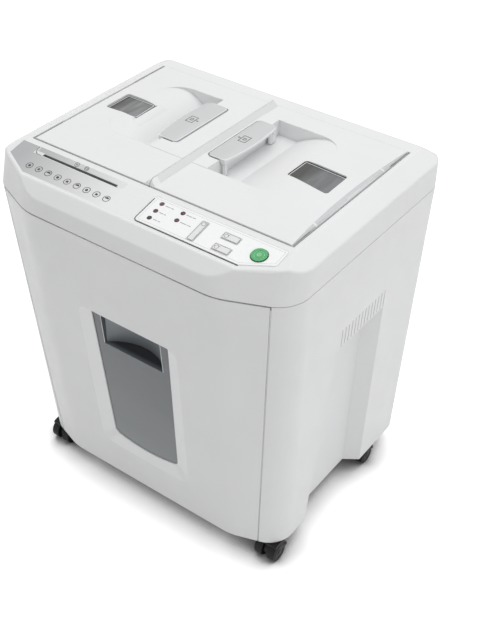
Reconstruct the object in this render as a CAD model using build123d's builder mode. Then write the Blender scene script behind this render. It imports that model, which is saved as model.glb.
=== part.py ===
"""Auto-feed paper shredder on casters: twin stack lids over a tapered cabinet with a pull-out bin.

Millimetres. +Z up, front towards -Y, origin on the floor under the middle of the machine.
Places named "back from the lids" count from the lids' front edge; drops count down from the lid plane.
"""
import os
from math import atan2, cos, degrees, pi, radians, sin, tan

from build123d import *

os.makedirs("parts", exist_ok=True)

# Driving dimensions: whole machine
LID_TOP_Z = 523.4
SEAM_Z = 472.1
FOOT_Z = 34.0
FRONT_TO_LID = 77.3
LID_DEPTH = 261.5
LID_TO_BACK = 37.0
BODY_DEPTH = FRONT_TO_LID + LID_DEPTH + LID_TO_BACK
LID_FRONT_Y = FRONT_TO_LID - BODY_DEPTH / 2
BACK_Y = BODY_DEPTH / 2
WALL = 4.0
COVER_WALL = 3.5
SEAM_GAP = 0.7
DOOR_GAP, DOOR_HEAD_GAP = 1.6, 1.3
RUN_GAP = 0.4
RUNNING_FIT = 0.05
PRESS_FIT = 0.02
CUT = 1.0

# Plan outlines: front line, front kink, a point on the bevelled corner, side line, corner radius
SEAM_OUTLINE = dict(front=-77.3, kink=147.4, edge=(207.9, -52.1), side=233.9, radius=45.0)
FOOT_OUTLINE = dict(front=-40.0, kink=144.2, edge=(182.5, -27.3), side=213.9, radius=40.0)
CROWN_OUTLINE = dict(front=-74.5, kink=131.8, edge=(207.9, -39.0), side=233.5, radius=45.0)
BACK_RADIUS = 22.0
KINK_RADIUS = 80.0
SIDE_LEAN = (SEAM_OUTLINE["side"] - FOOT_OUTLINE["side"]) / (SEAM_Z - FOOT_Z)

# Cover top
BEZEL_Y, BEZEL_DROP = -9.8, 1.8
PANEL_Y, PANEL_DROP = -60.7, 13.1
VISOR_Y, VISOR_DROP = -76.0, 28.0
SHOULDER_X, SHOULDER_DROP = 207.8, 1.8
CREASE_X, CREASE_DROP = 233.4, 14.6
BACK_TOP_BEVEL = 13.0
CROWN_RADIUS = 4.0
COVER_SCREW_X = (-180.0, -60.0, 60.0, 180.0)
COVER_SCREW_Z = SEAM_Z + 14.0
COVER_SCREW_R, COVER_SCREW_HEAD = 4.0, 1.0
COVER_SCREW_SINK = (COVER_SCREW_R + 0.3, COVER_WALL - 0.5)

# Lids
LID_HALF = 200.0
LID_GAP, LID_SIDE_GAP = 0.6, 2.4
LID_THICK = 8.0
LID_SKIN = 3.5
LID_RIB = 6.0
HINGE_R = 5.0
HINGE_X = LID_HALF - HINGE_R
HINGE_PIN_R, HINGE_PIN_REACH = 1.8, (8.0, 12.0)
RIDGE_HEIGHT = 6.5
RIDGE_NOSE, NOSE_SHARE, NOSE_RISE = 10.0, 0.25, 0.68
PLATEAU_RISE = 0.4
RECESS_Y = (73.0, 228.0)
RECESS_DEPTH = 22.0
RECESS_SHELL = 3.0
RECESS_START = 8.0
RECESS_FLAT = 22.0
SHELL_START, SHELL_SLANT, SHELL_END = 8.0, 11.0, 9.0
RECESS_CORNER = 38.0
RAMP_BULGE = (0.35, 0.40)
PANE_DROP, LID_PANE_THICK = 3.0, 2.6
PANE_SEAT, LID_PANE_LAP, LID_WINDOW_CORNER = 4.0, 3.7, 4.0
LEVER_Y = (99.0, 211.0)
LEVER_PROUD = 1.8
LEVER_THICK, LEVER_RELIEF, LEVER_ROOT = 6.0, 2.8, 13.0
LEVER_BOW, LEVER_FLARE = 6.0, 2.0
LEVER_CORNER, LEVER_TOE, LEVER_HEEL, LEVER_EDGE = 6.0, 3.0, 8.0, 1.0
LEVER_LEG_X, LEVER_TOE_LEG, LEVER_HEEL_LEG = (-4.5, -0.5), (1.0, 5.0), (-8.0, -1.0)
LEVER_COLUMN_R, LEVER_COLUMN_Y, LEVER_LEG_GAP = 3.2, -9.0, 0.6
LEVER_PIVOT_IN, LEVER_PIVOT_DROP, LEVER_PIVOT_R = 2.5, 2.8, 1.2
LEVER_POCKET_DROP, LEVER_SWING_GAP, LEVER_END_GAP = 5.4, 2.2, 0.5
TRUNNION, TRUNNION_BORE = 5.0, 8.0
RIGHT_LID = dict(seam=-7.6, ridge=7.4, lever=(4.0, 31.5), ramp=131.0,
                 window=((107.8, 123.3), (108.1, 165.7), (172.1, 161.6), (172.8, 112.1)))
LEFT_LID = dict(seam=8.4, ridge=7.4, lever=(47.0, 76.5), ramp=157.0,
                window=((132.8, 121.5), (134.8, 164.6), (183.3, 164.5), (183.3, 117.3)))

# Control panel: places are x and distance down the slope from the bezel
PANEL_SLOPE = atan2(PANEL_DROP - BEZEL_DROP, BEZEL_Y - PANEL_Y)
OVERLAY_X = (14.0, 204.0)
OVERLAY_DEPTH = (-0.6, -45.3)
OVERLAY_BEVEL = ((204.0, -26.0), (165.0, -45.3))
OVERLAY_THICK = 0.6
OVERLAY_CORNER = 4.0
LED_R = 2.4
LED_GAP = 0.2
LED_PROUD = 0.7
LED_PLACES = ((27.8, -9.2), (28.4, -22.0), (29.0, -34.7), (59.8, -9.7), (60.4, -22.5))
POWER_PLACE, POWER_R = (177.4, -21.9), 9.8
POWER_RING = (5.4, 6.4, 0.5)
KEYS = {"mode_key": (93.0, -24.8, 8.0, 32.0), "rear_key": (134.0, -15.6, 22.0, 9.0),
        "front_key": (134.4, -35.0, 22.0, 9.0)}
KEY_CORNER = 1.2
POWER_PROUD, KEY_PROUD = 2.2, 1.6
FLANGE = (-5.6, -COVER_WALL - 0.3)
FLANGE_RIM = 1.4
CAP_FOOT = -6.0
STEM_TIP_R = 2.5
BUTTON_TRAVEL = 1.2
BOARD_DEPTH, BOARD_THICK = 12.4, 1.6
BOARD_RECTANGLES = ((87.0, -24.0, 146.0, 38.0), (170.0, -18.0, 40.0, 26.0))
BOARD_POSTS = ((18.0, -39.0), (18.0, -9.0), (150.0, -39.0), (186.0, -9.0))
BOARD_POST_R = 3.0
STEM_GAP = 0.3

# Disc slot
SLOT_X = (-165.0, -43.0)
SLOT_Y = (-22.0, -16.5)
SCOOP_X = (-178.0, -32.0)
SCOOP_DROP = 7.5
SCOOP_CORNER = 7.0
SCOOP_BACKING_Y = (-29.0, -12.0)
LINER_WALL = 3.0
LINER_DROP = (15.0, 48.0)

# Drawer front and its window, heights from the floor
WINDOW_TOP_Z, WINDOW_FOOT_Z = 350.0, 117.0
WINDOW_SHAPE = dict(half_top=64.0, half_foot=56.5, foot_z=WINDOW_FOOT_Z, sag=9.0, corner=10.0)
BEVEL_SHAPE = dict(half_top=84.0, half_foot=80.0, foot_z=93.0, sag=2.0, corner=14.0)
BEVEL_DEPTH = 5.0
PANE_DEPTH = 6.5
PANE_THICK = 3.0
PANE_LAP = 5.7
PAD_MARGIN = 5.0
BIN_BOSS_X, BIN_BOSS_Z, BIN_BOSS_R = (-110.0, 110.0), (100.0, 250.0), 6.0
BIN_SCREW_R, BIN_SCREW_HEAD, BIN_SCREW_GAP = 4.0, 2.2, 0.1

# Waste bin and the finger pull that is moulded into the window
BIN_FOOT_Z, BIN_TOP_Z = 52.4, 332.0
BIN_HALF_FOOT, BIN_HALF_TOP = 168.0, 178.0
BIN_BACK = 262.0
BIN_WALL = 2.5
BIN_SETBACK = 14.0
BIN_CORNER = 14.0
PULL_HALF, PULL_Z, PULL_WALL = 49.0, (293.4, 346.0), 2.2
PULL_STRAIGHT, PULL_BACK = -52.0, -32.0
PULL_NOTCH = 0.8

# Side recess and vents
RECESS_TOP_Z = 334.0
RECESS_FOOT_Y = (42.8, 85.0, 176.0, 190.7)
RECESS_HEAD_Y = (68.0, 100.0, 168.0, 185.0)
RECESS_INSET = 20.8
VENT_COUNT, VENT_WIDE, VENT_HIGH, VENT_DEEP = 14, 2.2, 27.0, 0.7
VENT_Y = (80.0, 183.0)
VENT_Z = RECESS_TOP_Z + VENT_HIGH / 2 + 2.0

# Shell columns, base plate, rails and inlet
COLUMN_X, COLUMN_Y = (188.0, 226.0), ((16.0, 36.0), (206.0, 226.0))
BASE_THICK, BASE_LIFT = 10.0, 1.0
BASE_PADS = ((140.0, (-24.0, 0.0)), (150.0, (-8.0, 282.0)))
BASE_EARS = ((184.0, (-8.0, 282.0)), (201.0, (-12.0, 38.0)), (201.0, (204.0, 262.0)))
RAIL_X, RAIL_Y = (140.0, 158.0), (-18.0, 268.0)
INLET_X, INLET_Z = 130.0, 62.0
INLET_OPENING, INLET_BODY, INLET_CAVITY = (30.0, 24.0), (29.4, 23.4), (24.0, 16.5)
INLET_FLANGE = (40.0, 2.0, 32.0)
INLET_DEPTH = (0.5, 14.0, 19.0)
INLET_PINS = ((-7.0, -2.0), (0.0, 3.0), (7.0, -2.0))
INLET_PIN, INLET_PIN_OUT = (2.0, 12.0, 4.0), 5.0

# Paper tray
TRAY_HALF = 184.0
TRAY_RIM_Y, TRAY_Y = (1.0, 260.5), (21.0, 255.5)
TRAY_RIM_DROP = (11.8, 14.8)
TRAY_FLOOR_DROP = 50.0
TRAY_WALL = 3.0
THROAT_HALF, THROAT_Y = 12.0, (30.0, 248.0)
ROLLER_WINDOW_GAP = 2.0

# Cutting block
DECK_Z, DECK_THICK = 352.0, 4.0
DECK_FRONT, DECK_MAIN = (178.0, (-44.0, 281.0)), (206.0, (12.0, 281.0))
DECK_OPENING = (48.0, (36.0, 242.0))
DISC_OPENING = ((-163.0, -45.0), (-38.0, -5.0))
DRIVE_GAP = 2.0
CUTTER_Z, CUTTER_X = 401.4, 25.5
CUTTER_TIP_R, CUTTER_ROOT_R, CUTTER_JOURNAL_R = 30.0, 20.0, 9.0
CUTTER_Y = (30.0, 248.0)
DISC_PITCH, DISC_WIDE = 10.6, 5.0
NOTCH_COUNT, NOTCH_DEEP, NOTCH_WIDE = 6, 4.0, 3.0
FRAME_PLATE, FRAME_HALF, FRAME_OVER_ROLLER = 6.0, 57.0, 2.4
SHAFT_OUT, ROOT_IN = 1.0, 1.0
FRAME_Y = (CUTTER_Y[0] - 8.0, CUTTER_Y[1] + 2.0)
BUSH_R = 14.0
TIE_BARS, TIE_BAR_R = ((-51.0, 368.0), (51.0, 368.0), (0.0, 452.0)), 5.0
ROLLER_X, ROLLER_Z, ROLLER_R, ROLLER_SHAFT_R = 45.0, 462.4, 14.0, 5.0
SLEEVE_Y, SLEEVE_LONG = (34.0, 110.0, 186.0), 50.0
ROLLER_BACK = 258.0

# Gears: mesh pair and drive behind the block, feed take-offs in front of it
GEAR_WIDE = 6.0
MESH_TEETH, MESH_MODULE, MESH_Y = 20, 2.55, 259.0
FEED_TEETH, GEAR_MODULE = 32, 2.0
FEED_Y = {"right": 13.0, "left": 5.0}
DRIVE_TEETH, PINION_TEETH, DRIVE_Y = 48, 16, 269.0
TOOTH_ROOT, TOOTH_TIP = 0.30, 0.13
MOTOR_X = CUTTER_X + (DRIVE_TEETH + PINION_TEETH) * GEAR_MODULE / 2
MOTOR_R, GEARBOX_R, GEARBOX_Y, MOTOR_Y = 25.0, 29.0, (224.0, 264.0), (116.0, 226.0)
MOTOR_FOOT_HALF, MOTOR_FOOT_Y = 22.0, (140.0, 260.0)
PINION_SHAFT_R, PINION_BORE, PINION_SHAFT = 6.0, 20.0, 15.0

# Disc cutter
DISC_CUTTER_Z, DISC_CUTTER_Y, DISC_CUTTER_HALF = 430.0, -19.25, 10.5
DISC_CUTTER_X = (-171.0, -38.0)
DISC_SHAFT_X, DISC_SHAFT_R = (-188.0, -28.0), 5.0
DISC_BLOCK_X, DISC_BLOCK_Y = ((-178.0, -172.0), (-37.0, -31.0)), (-44.0, 1.0)
DISC_BLOCK_OVER = 14.0
DISC_COUNT, DISC_FIRST, DISC_STEP, DISC_RIB = 14, -167.0, 8.8, 3.8
DISC_TIP_R, DISC_ROOT_R = 12.6, 8.0
DISC_GEAR_TEETH, DISC_GEAR_MODULE, DISC_GEAR_X = 12, 1.75, -186.0

# Casters
CASTER_PLACES = {"front_right": (193.5, 0.0), "front_left": (-193.5, 0.0),
                 "rear_right": (193.0, 235.0), "rear_left": (-193.0, 235.0)}
WHEEL_R, WHEEL_WIDE, WHEEL_SPLIT, TRAIL = 15.0, 12.5, 4.0, 12.0
WHEEL_EDGE = 1.5
AXLE_R = 2.5
HOOD_R = (WHEEL_R + 0.9, WHEEL_R + 3.2)
HOOD_FRONT = WHEEL_R - 6.0
WEB_R, WEB_GAP = WHEEL_R - 5.0, 0.5
WEB_ARM, WEB_ARM_PLACE = (TRAIL + 10.0, 20.0), (TRAIL / 2 + 2.0, 6.0)
STEM_R, COLLAR_R, COLLAR_Z = 4.0, 7.5, 30.2


def from_lid(distance):
    """Y of a place measured back from the lids' front edge."""
    return LID_FRONT_Y + distance


def below_lid(drop):
    """Z of a place measured down from the lid plane."""
    return LID_TOP_Z - drop


def facing_front(distance):
    """Plane across the machine at a distance behind the lids' front edge: X right, Z up."""
    return Plane(origin=(0, from_lid(distance), 0), x_dir=(1, 0, 0), z_dir=(0, -1, 0))


def along_axis_y(x, z):
    """Plane holding an axis that runs front to back: local X along it, local Y up."""
    return facing_right(x, 0, z)


def facing_axis(x, distance, z):
    """Plane facing the front whose origin lies on an axis that runs front to back."""
    return Plane(origin=(x, from_lid(distance), z), x_dir=(1, 0, 0), z_dir=(0, -1, 0))


def facing_right(x, y, z):
    """Plane facing right with its origin at a world place: local X towards the back, local Y up."""
    return Plane(origin=(x, y, z), x_dir=(0, 1, 0), z_dir=(1, 0, 0))


def across(x):
    """Plane facing right at x, its origin on the floor."""
    return facing_right(x, 0, 0)


PANEL = Plane(origin=(0, from_lid(BEZEL_Y), below_lid(BEZEL_DROP)), x_dir=(1, 0, 0),
              z_dir=(0, -sin(PANEL_SLOPE), cos(PANEL_SLOPE)))

# Plane of the drawer front's flat: local X right, local Y up the leaning face, Z outwards
LEAN = atan2(FOOT_OUTLINE["front"] - SEAM_OUTLINE["front"], SEAM_Z - FOOT_Z)
FACE = Plane(origin=(0, from_lid(FOOT_OUTLINE["front"]), FOOT_Z), x_dir=(1, 0, 0),
             z_dir=(0, -cos(LEAN), -sin(LEAN)))


def up_face(z):
    """Distance up the leaning front face of a height above the floor."""
    return (z - FOOT_Z) / cos(LEAN)


def save(builder, name):
    """Label one finished piece and write it."""
    builder.part.label = name
    export_step(builder.part, f"parts/{name}.step")


def block(x, y, z, mode=Mode.ADD):
    """Box between two limits on each axis, y measured back from the lids, z from the floor."""
    with Locations(((x[0] + x[1]) / 2, from_lid((y[0] + y[1]) / 2), (z[0] + z[1]) / 2)):
        Box(x[1] - x[0], y[1] - y[0], z[1] - z[0], mode=mode)


def slab(half, y, z, mode=Mode.ADD):
    """Block that reaches as far to the left as to the right."""
    block((-half, half), y, z, mode)


def rod(x, z, y, radius, mode=Mode.ADD):
    """Round bar that runs front to back between two distances behind the lids' front edge."""
    with Locations(Location((x, from_lid((y[0] + y[1]) / 2), z), (90, 0, 0))):
        Cylinder(radius, y[1] - y[0], mode=mode)


def axle(x, y, z, radius, mode=Mode.ADD):
    """Round bar that runs left to right between two x limits, at a world y."""
    with Locations(Location(((x[0] + x[1]) / 2, y, z), (0, 90, 0))):
        Cylinder(radius, x[1] - x[0], mode=mode)


def post(x, y, z, radius, mode=Mode.ADD):
    """Upright round bar between two heights, at a world y."""
    with Locations((x, y, (z[0] + z[1]) / 2)):
        Cylinder(radius, z[1] - z[0], mode=mode)


def outline(shape, z, inset=0.0):
    """Plan outline of the body at one height: flat front that bends softly into rounded corners."""
    front = from_lid(shape["front"])
    kink = shape["kink"]
    edge_x, edge_y = shape["edge"][0], from_lid(shape["edge"][1])
    side = shape["side"]
    corner_y = edge_y + (side - edge_x) * (edge_y - front) / (edge_x - kink)
    with BuildSketch(Plane.XY.offset(z)) as plan:
        with BuildLine():
            Polyline((-kink, front), (kink, front), (side, corner_y), (side, BACK_Y), (-side, BACK_Y),
                     (-side, corner_y), close=True)
        make_face()
        fillet(plan.vertices().group_by(Axis.Y)[-1], radius=BACK_RADIUS)
        sides = plan.vertices().filter_by(lambda v: abs(abs(v.X) - side) < 0.01)
        fillet(sides.group_by(Axis.Y)[0], radius=shape["radius"])
        fillet(plan.vertices().group_by(Axis.Y)[0], radius=KINK_RADIUS)
        if inset:
            offset(amount=-inset, kind=Kind.INTERSECTION)
    return plan.sketch


def cabinet_form(inset=0.0):
    """Solid tapered body below the cover seam."""
    with BuildPart() as form:
        add(outline(FOOT_OUTLINE, FOOT_Z, inset))
        add(outline(SEAM_OUTLINE, SEAM_Z - SEAM_GAP / 2, inset))
        loft(ruled=True)
    return form.part


def cover_form(inset=0.0):
    """Solid cover above the seam: sloped panel, visor chamfer and shoulder facets cut by planes."""
    with BuildPart() as form:
        add(outline(SEAM_OUTLINE, SEAM_Z + SEAM_GAP / 2, inset))
        add(outline(CROWN_OUTLINE, below_lid(BEZEL_DROP), inset))
        loft(ruled=True)
        shoulder = (CREASE_DROP - SHOULDER_DROP, CREASE_X - SHOULDER_X)
        facets = (
            ((0, from_lid(PANEL_Y), below_lid(PANEL_DROP)), (0, PANEL_DROP - VISOR_DROP, PANEL_Y - VISOR_Y)),
            ((0, from_lid(BEZEL_Y), below_lid(BEZEL_DROP)), (0, BEZEL_DROP - PANEL_DROP, BEZEL_Y - PANEL_Y)),
            ((0, 0, below_lid(BEZEL_DROP)), (0, 0, 1)),
            ((SHOULDER_X, 0, below_lid(SHOULDER_DROP)), (shoulder[0], 0, shoulder[1])),
            ((-SHOULDER_X, 0, below_lid(SHOULDER_DROP)), (-shoulder[0], 0, shoulder[1])),
            ((0, BACK_Y - BACK_TOP_BEVEL, below_lid(BEZEL_DROP)), (0, 1, 1)),
        )
        for origin, normal in facets:
            split(bisect_by=Plane(origin=origin, z_dir=normal).offset(-inset), keep=Keep.BOTTOM)
    return form.part


def rounded_cover():
    """Cover with every edge above the seam rounded, except the long soft creases along the sides."""
    with BuildPart() as form:
        add(cover_form())
        upper = form.edges().filter_by(lambda edge: edge.center().Z > SEAM_Z + 2 * SEAM_GAP)
        side_crease = below_lid(CREASE_DROP)
        rounded = upper.filter_by(
            lambda edge: edge.length < LID_DEPTH or abs(edge.center().Z - side_crease) > CUT)
        fillet(rounded, radius=CROWN_RADIUS)
    return form.part


def door_zone(gap):
    """Volume in front of the cabinet's front edges, widened by a gap: what the drawer front fills."""
    reach_y, reach = -60.0, 160.0
    with BuildPart() as zone:
        for shape, z in ((FOOT_OUTLINE, FOOT_Z - CUT), (SEAM_OUTLINE, SEAM_Z + CUT)):
            with BuildSketch(Plane.XY.offset(z)):
                with Locations((0, from_lid(reach_y))):
                    Rectangle(2 * (shape["edge"][0] + gap), reach)
        loft(ruled=True)
    return zone.part


def side_recess(grow=0.0):
    """Open-bottomed hand recess in the right flank, grown evenly for the wall behind it."""
    below, slack = 5.0, 12.0
    with BuildPart() as recess:
        for z, ys in ((FOOT_Z - below, RECESS_FOOT_Y), (RECESS_TOP_Z + grow, RECESS_HEAD_Y)):
            skin = FOOT_OUTLINE["side"] + (z - FOOT_Z) * SIDE_LEAN
            floor = skin - RECESS_INSET - grow
            with BuildSketch(Plane.XY.offset(z)):
                with BuildLine():
                    Polyline((skin, from_lid(ys[0] - grow)), (floor, from_lid(ys[1] - grow)),
                             (floor, from_lid(ys[2] + grow)), (skin, from_lid(ys[3] + grow)),
                             (skin + slack, from_lid(ys[3] + grow)),
                             (skin + slack, from_lid(ys[0] - grow)), close=True)
                make_face()
        loft(ruled=True)
    return recess.part


def window_outline(depth, half_top, half_foot, foot_z, sag, corner, grow=0.0):
    """Window-shaped face at a depth behind the drawer front's skin."""
    top, foot = up_face(WINDOW_TOP_Z) + grow, up_face(foot_z) - grow
    wide, narrow = half_top + grow, half_foot + grow
    with BuildSketch(FACE.offset(-depth)) as face:
        with BuildLine():
            Polyline((-narrow, foot), (-wide, top), (wide, top), (narrow, foot))
            ThreePointArc((narrow, foot), (0, foot - sag), (-narrow, foot))
        make_face()
        fillet(face.vertices().group_by(Axis.Z)[0], radius=corner)
    return face.sketch


def pull_prism(grow):
    """Half-moon prism of the finger pull, open to the front."""
    half, front = PULL_HALF + grow, from_lid(SEAM_OUTLINE["front"])
    straight, back = from_lid(PULL_STRAIGHT), from_lid(PULL_BACK + grow)
    with BuildPart() as prism:
        with BuildSketch(Plane.XY.offset(PULL_Z[0] - grow)):
            with BuildLine():
                Polyline((-half, straight), (-half, front), (half, front), (half, straight))
                ThreePointArc((half, straight), (0, back), (-half, straight))
            make_face()
        extrude(amount=PULL_Z[1] - PULL_Z[0] + 2 * grow)
    return prism.part


def bin_form(inset, foot, head):
    """Tapered bin block whose front wall is parallel to the drawer front."""
    with BuildPart() as form:
        for half, z in ((BIN_HALF_FOOT, foot), (BIN_HALF_TOP, head)):
            front = FOOT_OUTLINE["front"] - (z - FOOT_Z) * tan(LEAN) + BIN_SETBACK / cos(LEAN) + inset
            back = BIN_BACK - inset
            with BuildSketch(Plane.XY.offset(z)):
                with Locations((0, from_lid((front + back) / 2))):
                    RectangleRounded(2 * (half - inset), back - front, BIN_CORNER - inset)
        loft(ruled=True)
    return form.part


def gear_face(teeth, module, bore, turn):
    """Spur gear face on the current sketch plane, one tooth centred at the turn angle."""
    pitch_r = teeth * module / 2
    step = 2 * pi / teeth
    root, tip = pitch_r - 1.25 * module, pitch_r + module
    flank = ((root, -TOOTH_ROOT), (tip, -TOOTH_TIP), (tip, TOOTH_TIP), (root, TOOTH_ROOT))
    points = []
    for tooth in range(teeth):
        for radius, share in flank:
            angle = radians(turn) + (tooth + share) * step
            points.append((radius * cos(angle), radius * sin(angle)))
    Polygon(*points, align=None)
    Circle(bore, mode=Mode.SUBTRACT)


def save_gear(name, x, z, y, teeth, module, bore, turn):
    """One gear on an axis that runs front to back, its front face at y."""
    with BuildPart() as gear:
        with BuildSketch(facing_axis(x, y + GEAR_WIDE, z)):
            gear_face(teeth, module, bore, turn)
        extrude(amount=GEAR_WIDE)
    save(gear, name)


# Cabinet: one moulded shell with side recesses, deck columns and a shadow rim under the cover
right_recess = side_recess()
right_recess_back = side_recess(WALL)
with BuildPart() as cavity:
    add(cabinet_form(WALL))
    for wall_form in (right_recess_back, mirror(right_recess_back, about=Plane.YZ)):
        add(wall_form, mode=Mode.SUBTRACT)
with BuildPart() as columns:
    for place in COLUMN_Y:
        for way in (1, -1):
            block(sorted((way * COLUMN_X[0], way * COLUMN_X[1])), place, (FOOT_Z + BASE_THICK, DECK_Z))
    add(cabinet_form(WALL / 2), mode=Mode.INTERSECT)
RIM_DEEP, RIM_INSET = 1.5, 2.2
with BuildPart() as cabinet_shell:
    add(cabinet_form())
    add(cavity.part, mode=Mode.SUBTRACT)
    for recess_form in (right_recess, mirror(right_recess, about=Plane.YZ)):
        add(recess_form, mode=Mode.SUBTRACT)
    add(columns.part)
    with BuildSketch(Plane.XY.offset(SEAM_Z - RIM_DEEP)):
        add(outline(SEAM_OUTLINE, SEAM_Z - RIM_DEEP, RIM_INSET))
        add(outline(SEAM_OUTLINE, SEAM_Z - RIM_DEEP, WALL), mode=Mode.SUBTRACT)
    extrude(amount=RIM_DEEP + SEAM_GAP / 2)
    add(door_zone(DOOR_GAP), mode=Mode.SUBTRACT)
    vent_x = FOOT_OUTLINE["side"] + (VENT_Z - FOOT_Z) * SIDE_LEAN
    vent_step = (VENT_Y[1] - VENT_Y[0]) / (VENT_COUNT - 1)
    for way in (1, -1):
        for index in range(VENT_COUNT):
            vent_place = (way * vent_x, from_lid(VENT_Y[0] + index * vent_step), VENT_Z)
            with Locations(Location(vent_place, (0, way * degrees(atan2(SIDE_LEAN, 1)), 0))):
                Box(2 * VENT_DEEP, VENT_WIDE, VENT_HIGH, mode=Mode.SUBTRACT)
    with Locations((INLET_X, BACK_Y, INLET_Z)):
        Box(INLET_OPENING[0], 4 * WALL, INLET_OPENING[1], mode=Mode.SUBTRACT)
save(cabinet_shell, "cabinet_shell")

# Appliance inlet in the back wall: cup, flange behind the wall and three contact pins
with BuildPart() as power_inlet:
    inlet_face, cavity_floor, inlet_rear = [BACK_Y - depth for depth in INLET_DEPTH]
    with Locations((INLET_X, (inlet_face + inlet_rear) / 2, INLET_Z)):
        Box(INLET_BODY[0], inlet_face - inlet_rear, INLET_BODY[1])
    with Locations((INLET_X, BACK_Y - WALL - INLET_FLANGE[1] / 2, INLET_Z)):
        Box(*INLET_FLANGE)
    with Locations((INLET_X, (BACK_Y + cavity_floor) / 2, INLET_Z)):
        Box(INLET_CAVITY[0], BACK_Y - cavity_floor, INLET_CAVITY[1], mode=Mode.SUBTRACT)
    for pin_x, pin_z in INLET_PINS:
        with Locations((INLET_X + pin_x, cavity_floor + INLET_PIN_OUT, INLET_Z + pin_z)):
            Box(*INLET_PIN)
save(power_inlet, "power_inlet")

# Base plate: flat pad underneath, raised ears with caster sockets that carry the shell's columns
with BuildPart() as base_plate:
    for half, base_y in BASE_EARS:
        slab(half, base_y, (FOOT_Z + BASE_LIFT, FOOT_Z + BASE_THICK))
    for half, base_y in BASE_PADS:
        slab(half, base_y, (FOOT_Z, FOOT_Z + BASE_THICK))
    for place_x, place_y in CASTER_PLACES.values():
        socket_z = (FOOT_Z - CUT, FOOT_Z + BASE_THICK + CUT)
        post(place_x, from_lid(place_y), socket_z, STEM_R + RUNNING_FIT, Mode.SUBTRACT)
save(base_plate, "base_plate")

# Two rails that the bin slides on
with BuildPart() as bin_rails:
    for way in (1, -1):
        rail_x = sorted((way * RAIL_X[0], way * RAIL_X[1]))
        block(rail_x, RAIL_Y, (FOOT_Z + BASE_THICK, BIN_FOOT_Z - RUN_GAP))
save(bin_rails, "bin_rails")

# Drawer front: leaning skin with a bevelled window surround and bosses for the bin
with BuildPart() as window_bevel:
    add(window_outline(-CUT / 2, **BEVEL_SHAPE))
    add(window_outline(BEVEL_DEPTH, **WINDOW_SHAPE))
    loft(ruled=True)
POCKET_FLOOR = PANE_DEPTH + 2 * PANE_THICK
PANE_BACK = PANE_DEPTH + PANE_THICK
with BuildPart() as drawer_front:
    add(cabinet_form())
    add(cabinet_form(WALL), mode=Mode.SUBTRACT)
    add(door_zone(0), mode=Mode.INTERSECT)
    slab(SEAM_OUTLINE["side"], (SEAM_OUTLINE["front"] - CUT, 0.0),
         (SEAM_Z - SEAM_GAP / 2 - DOOR_HEAD_GAP, SEAM_Z), Mode.SUBTRACT)
    extrude(window_outline(PANE_BACK, **BEVEL_SHAPE, grow=PAD_MARGIN), amount=PANE_BACK - WALL / 2)
    with BuildSketch(FACE.offset(-BIN_SETBACK)):
        with Locations(*[(x, up_face(z)) for x in BIN_BOSS_X for z in BIN_BOSS_Z]):
            Circle(BIN_BOSS_R)
    extrude(amount=BIN_SETBACK - WALL / 2)
    add(window_bevel.part, mode=Mode.SUBTRACT)
    extrude(window_outline(POCKET_FLOOR, **WINDOW_SHAPE), amount=POCKET_FLOOR + BEVEL_DEPTH,
            mode=Mode.SUBTRACT)
    extrude(window_outline(POCKET_FLOOR, **WINDOW_SHAPE, grow=PANE_LAP + RUN_GAP),
            amount=2 * PANE_THICK, mode=Mode.SUBTRACT)
save(drawer_front, "drawer_front")

# Smoked window seated in the back of the surround, with a half-moon finger pull moulded into it
with BuildPart() as drawer_window:
    extrude(window_outline(PANE_BACK, **WINDOW_SHAPE, grow=PANE_LAP), amount=PANE_THICK)
    add(pull_prism(PULL_WALL))
    add(pull_prism(0), mode=Mode.SUBTRACT)
    split(bisect_by=FACE.offset(-PANE_DEPTH), keep=Keep.BOTTOM)
save(drawer_window, "drawer_window")

# Waste bin, notched at the front for the finger pull
with BuildPart() as waste_bin:
    add(bin_form(0, BIN_FOOT_Z, BIN_TOP_Z))
    add(bin_form(BIN_WALL, BIN_FOOT_Z + BIN_WALL, BIN_TOP_Z + CUT), mode=Mode.SUBTRACT)
    notch_grow = PULL_WALL + PULL_NOTCH
    notch_z = (PULL_Z[0] - notch_grow, BIN_TOP_Z + CUT)
    slab(PULL_HALF + notch_grow, (SEAM_OUTLINE["front"], PULL_BACK), notch_z, Mode.SUBTRACT)
save(waste_bin, "waste_bin")

# Four screws that hold the bin to the drawer front's bosses
with BuildPart() as bin_screws:
    with BuildSketch(FACE.offset(-BIN_SETBACK - BIN_WALL - BIN_SCREW_GAP)):
        with Locations(*[(x, up_face(z)) for x in BIN_BOSS_X for z in BIN_BOSS_Z]):
            Circle(BIN_SCREW_R)
    extrude(amount=-BIN_SCREW_HEAD)
save(bin_screws, "bin_screws")

# Scoop that leads a disc or card from the bezel down to the slot, round-ended in plan
with BuildPart() as scoop:
    slot_lip = BEZEL_DROP - (SLOT_Y[0] - BEZEL_Y) * tan(PANEL_SLOPE)
    with BuildSketch(across(SCOOP_X[0])):
        with BuildLine():
            Polyline((from_lid(BEZEL_Y), below_lid(BEZEL_DROP)),
                     (from_lid(SLOT_Y[0]), below_lid(slot_lip - CUT)),
                     (from_lid(SLOT_Y[0]), below_lid(SCOOP_DROP)), close=True)
        make_face()
    extrude(amount=SCOOP_X[1] - SCOOP_X[0])
    with BuildSketch(Plane.XY.offset(below_lid(SCOOP_DROP + CUT))) as scoop_plan:
        with Locations((sum(SCOOP_X) / 2, from_lid((SLOT_Y[0] + BEZEL_Y) / 2))):
            Rectangle(SCOOP_X[1] - SCOOP_X[0], BEZEL_Y - SLOT_Y[0])
        fillet(scoop_plan.vertices().group_by(Axis.Y)[0], radius=SCOOP_CORNER)
    extrude(amount=SCOOP_DROP + 2 * CUT, mode=Mode.INTERSECT)

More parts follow.
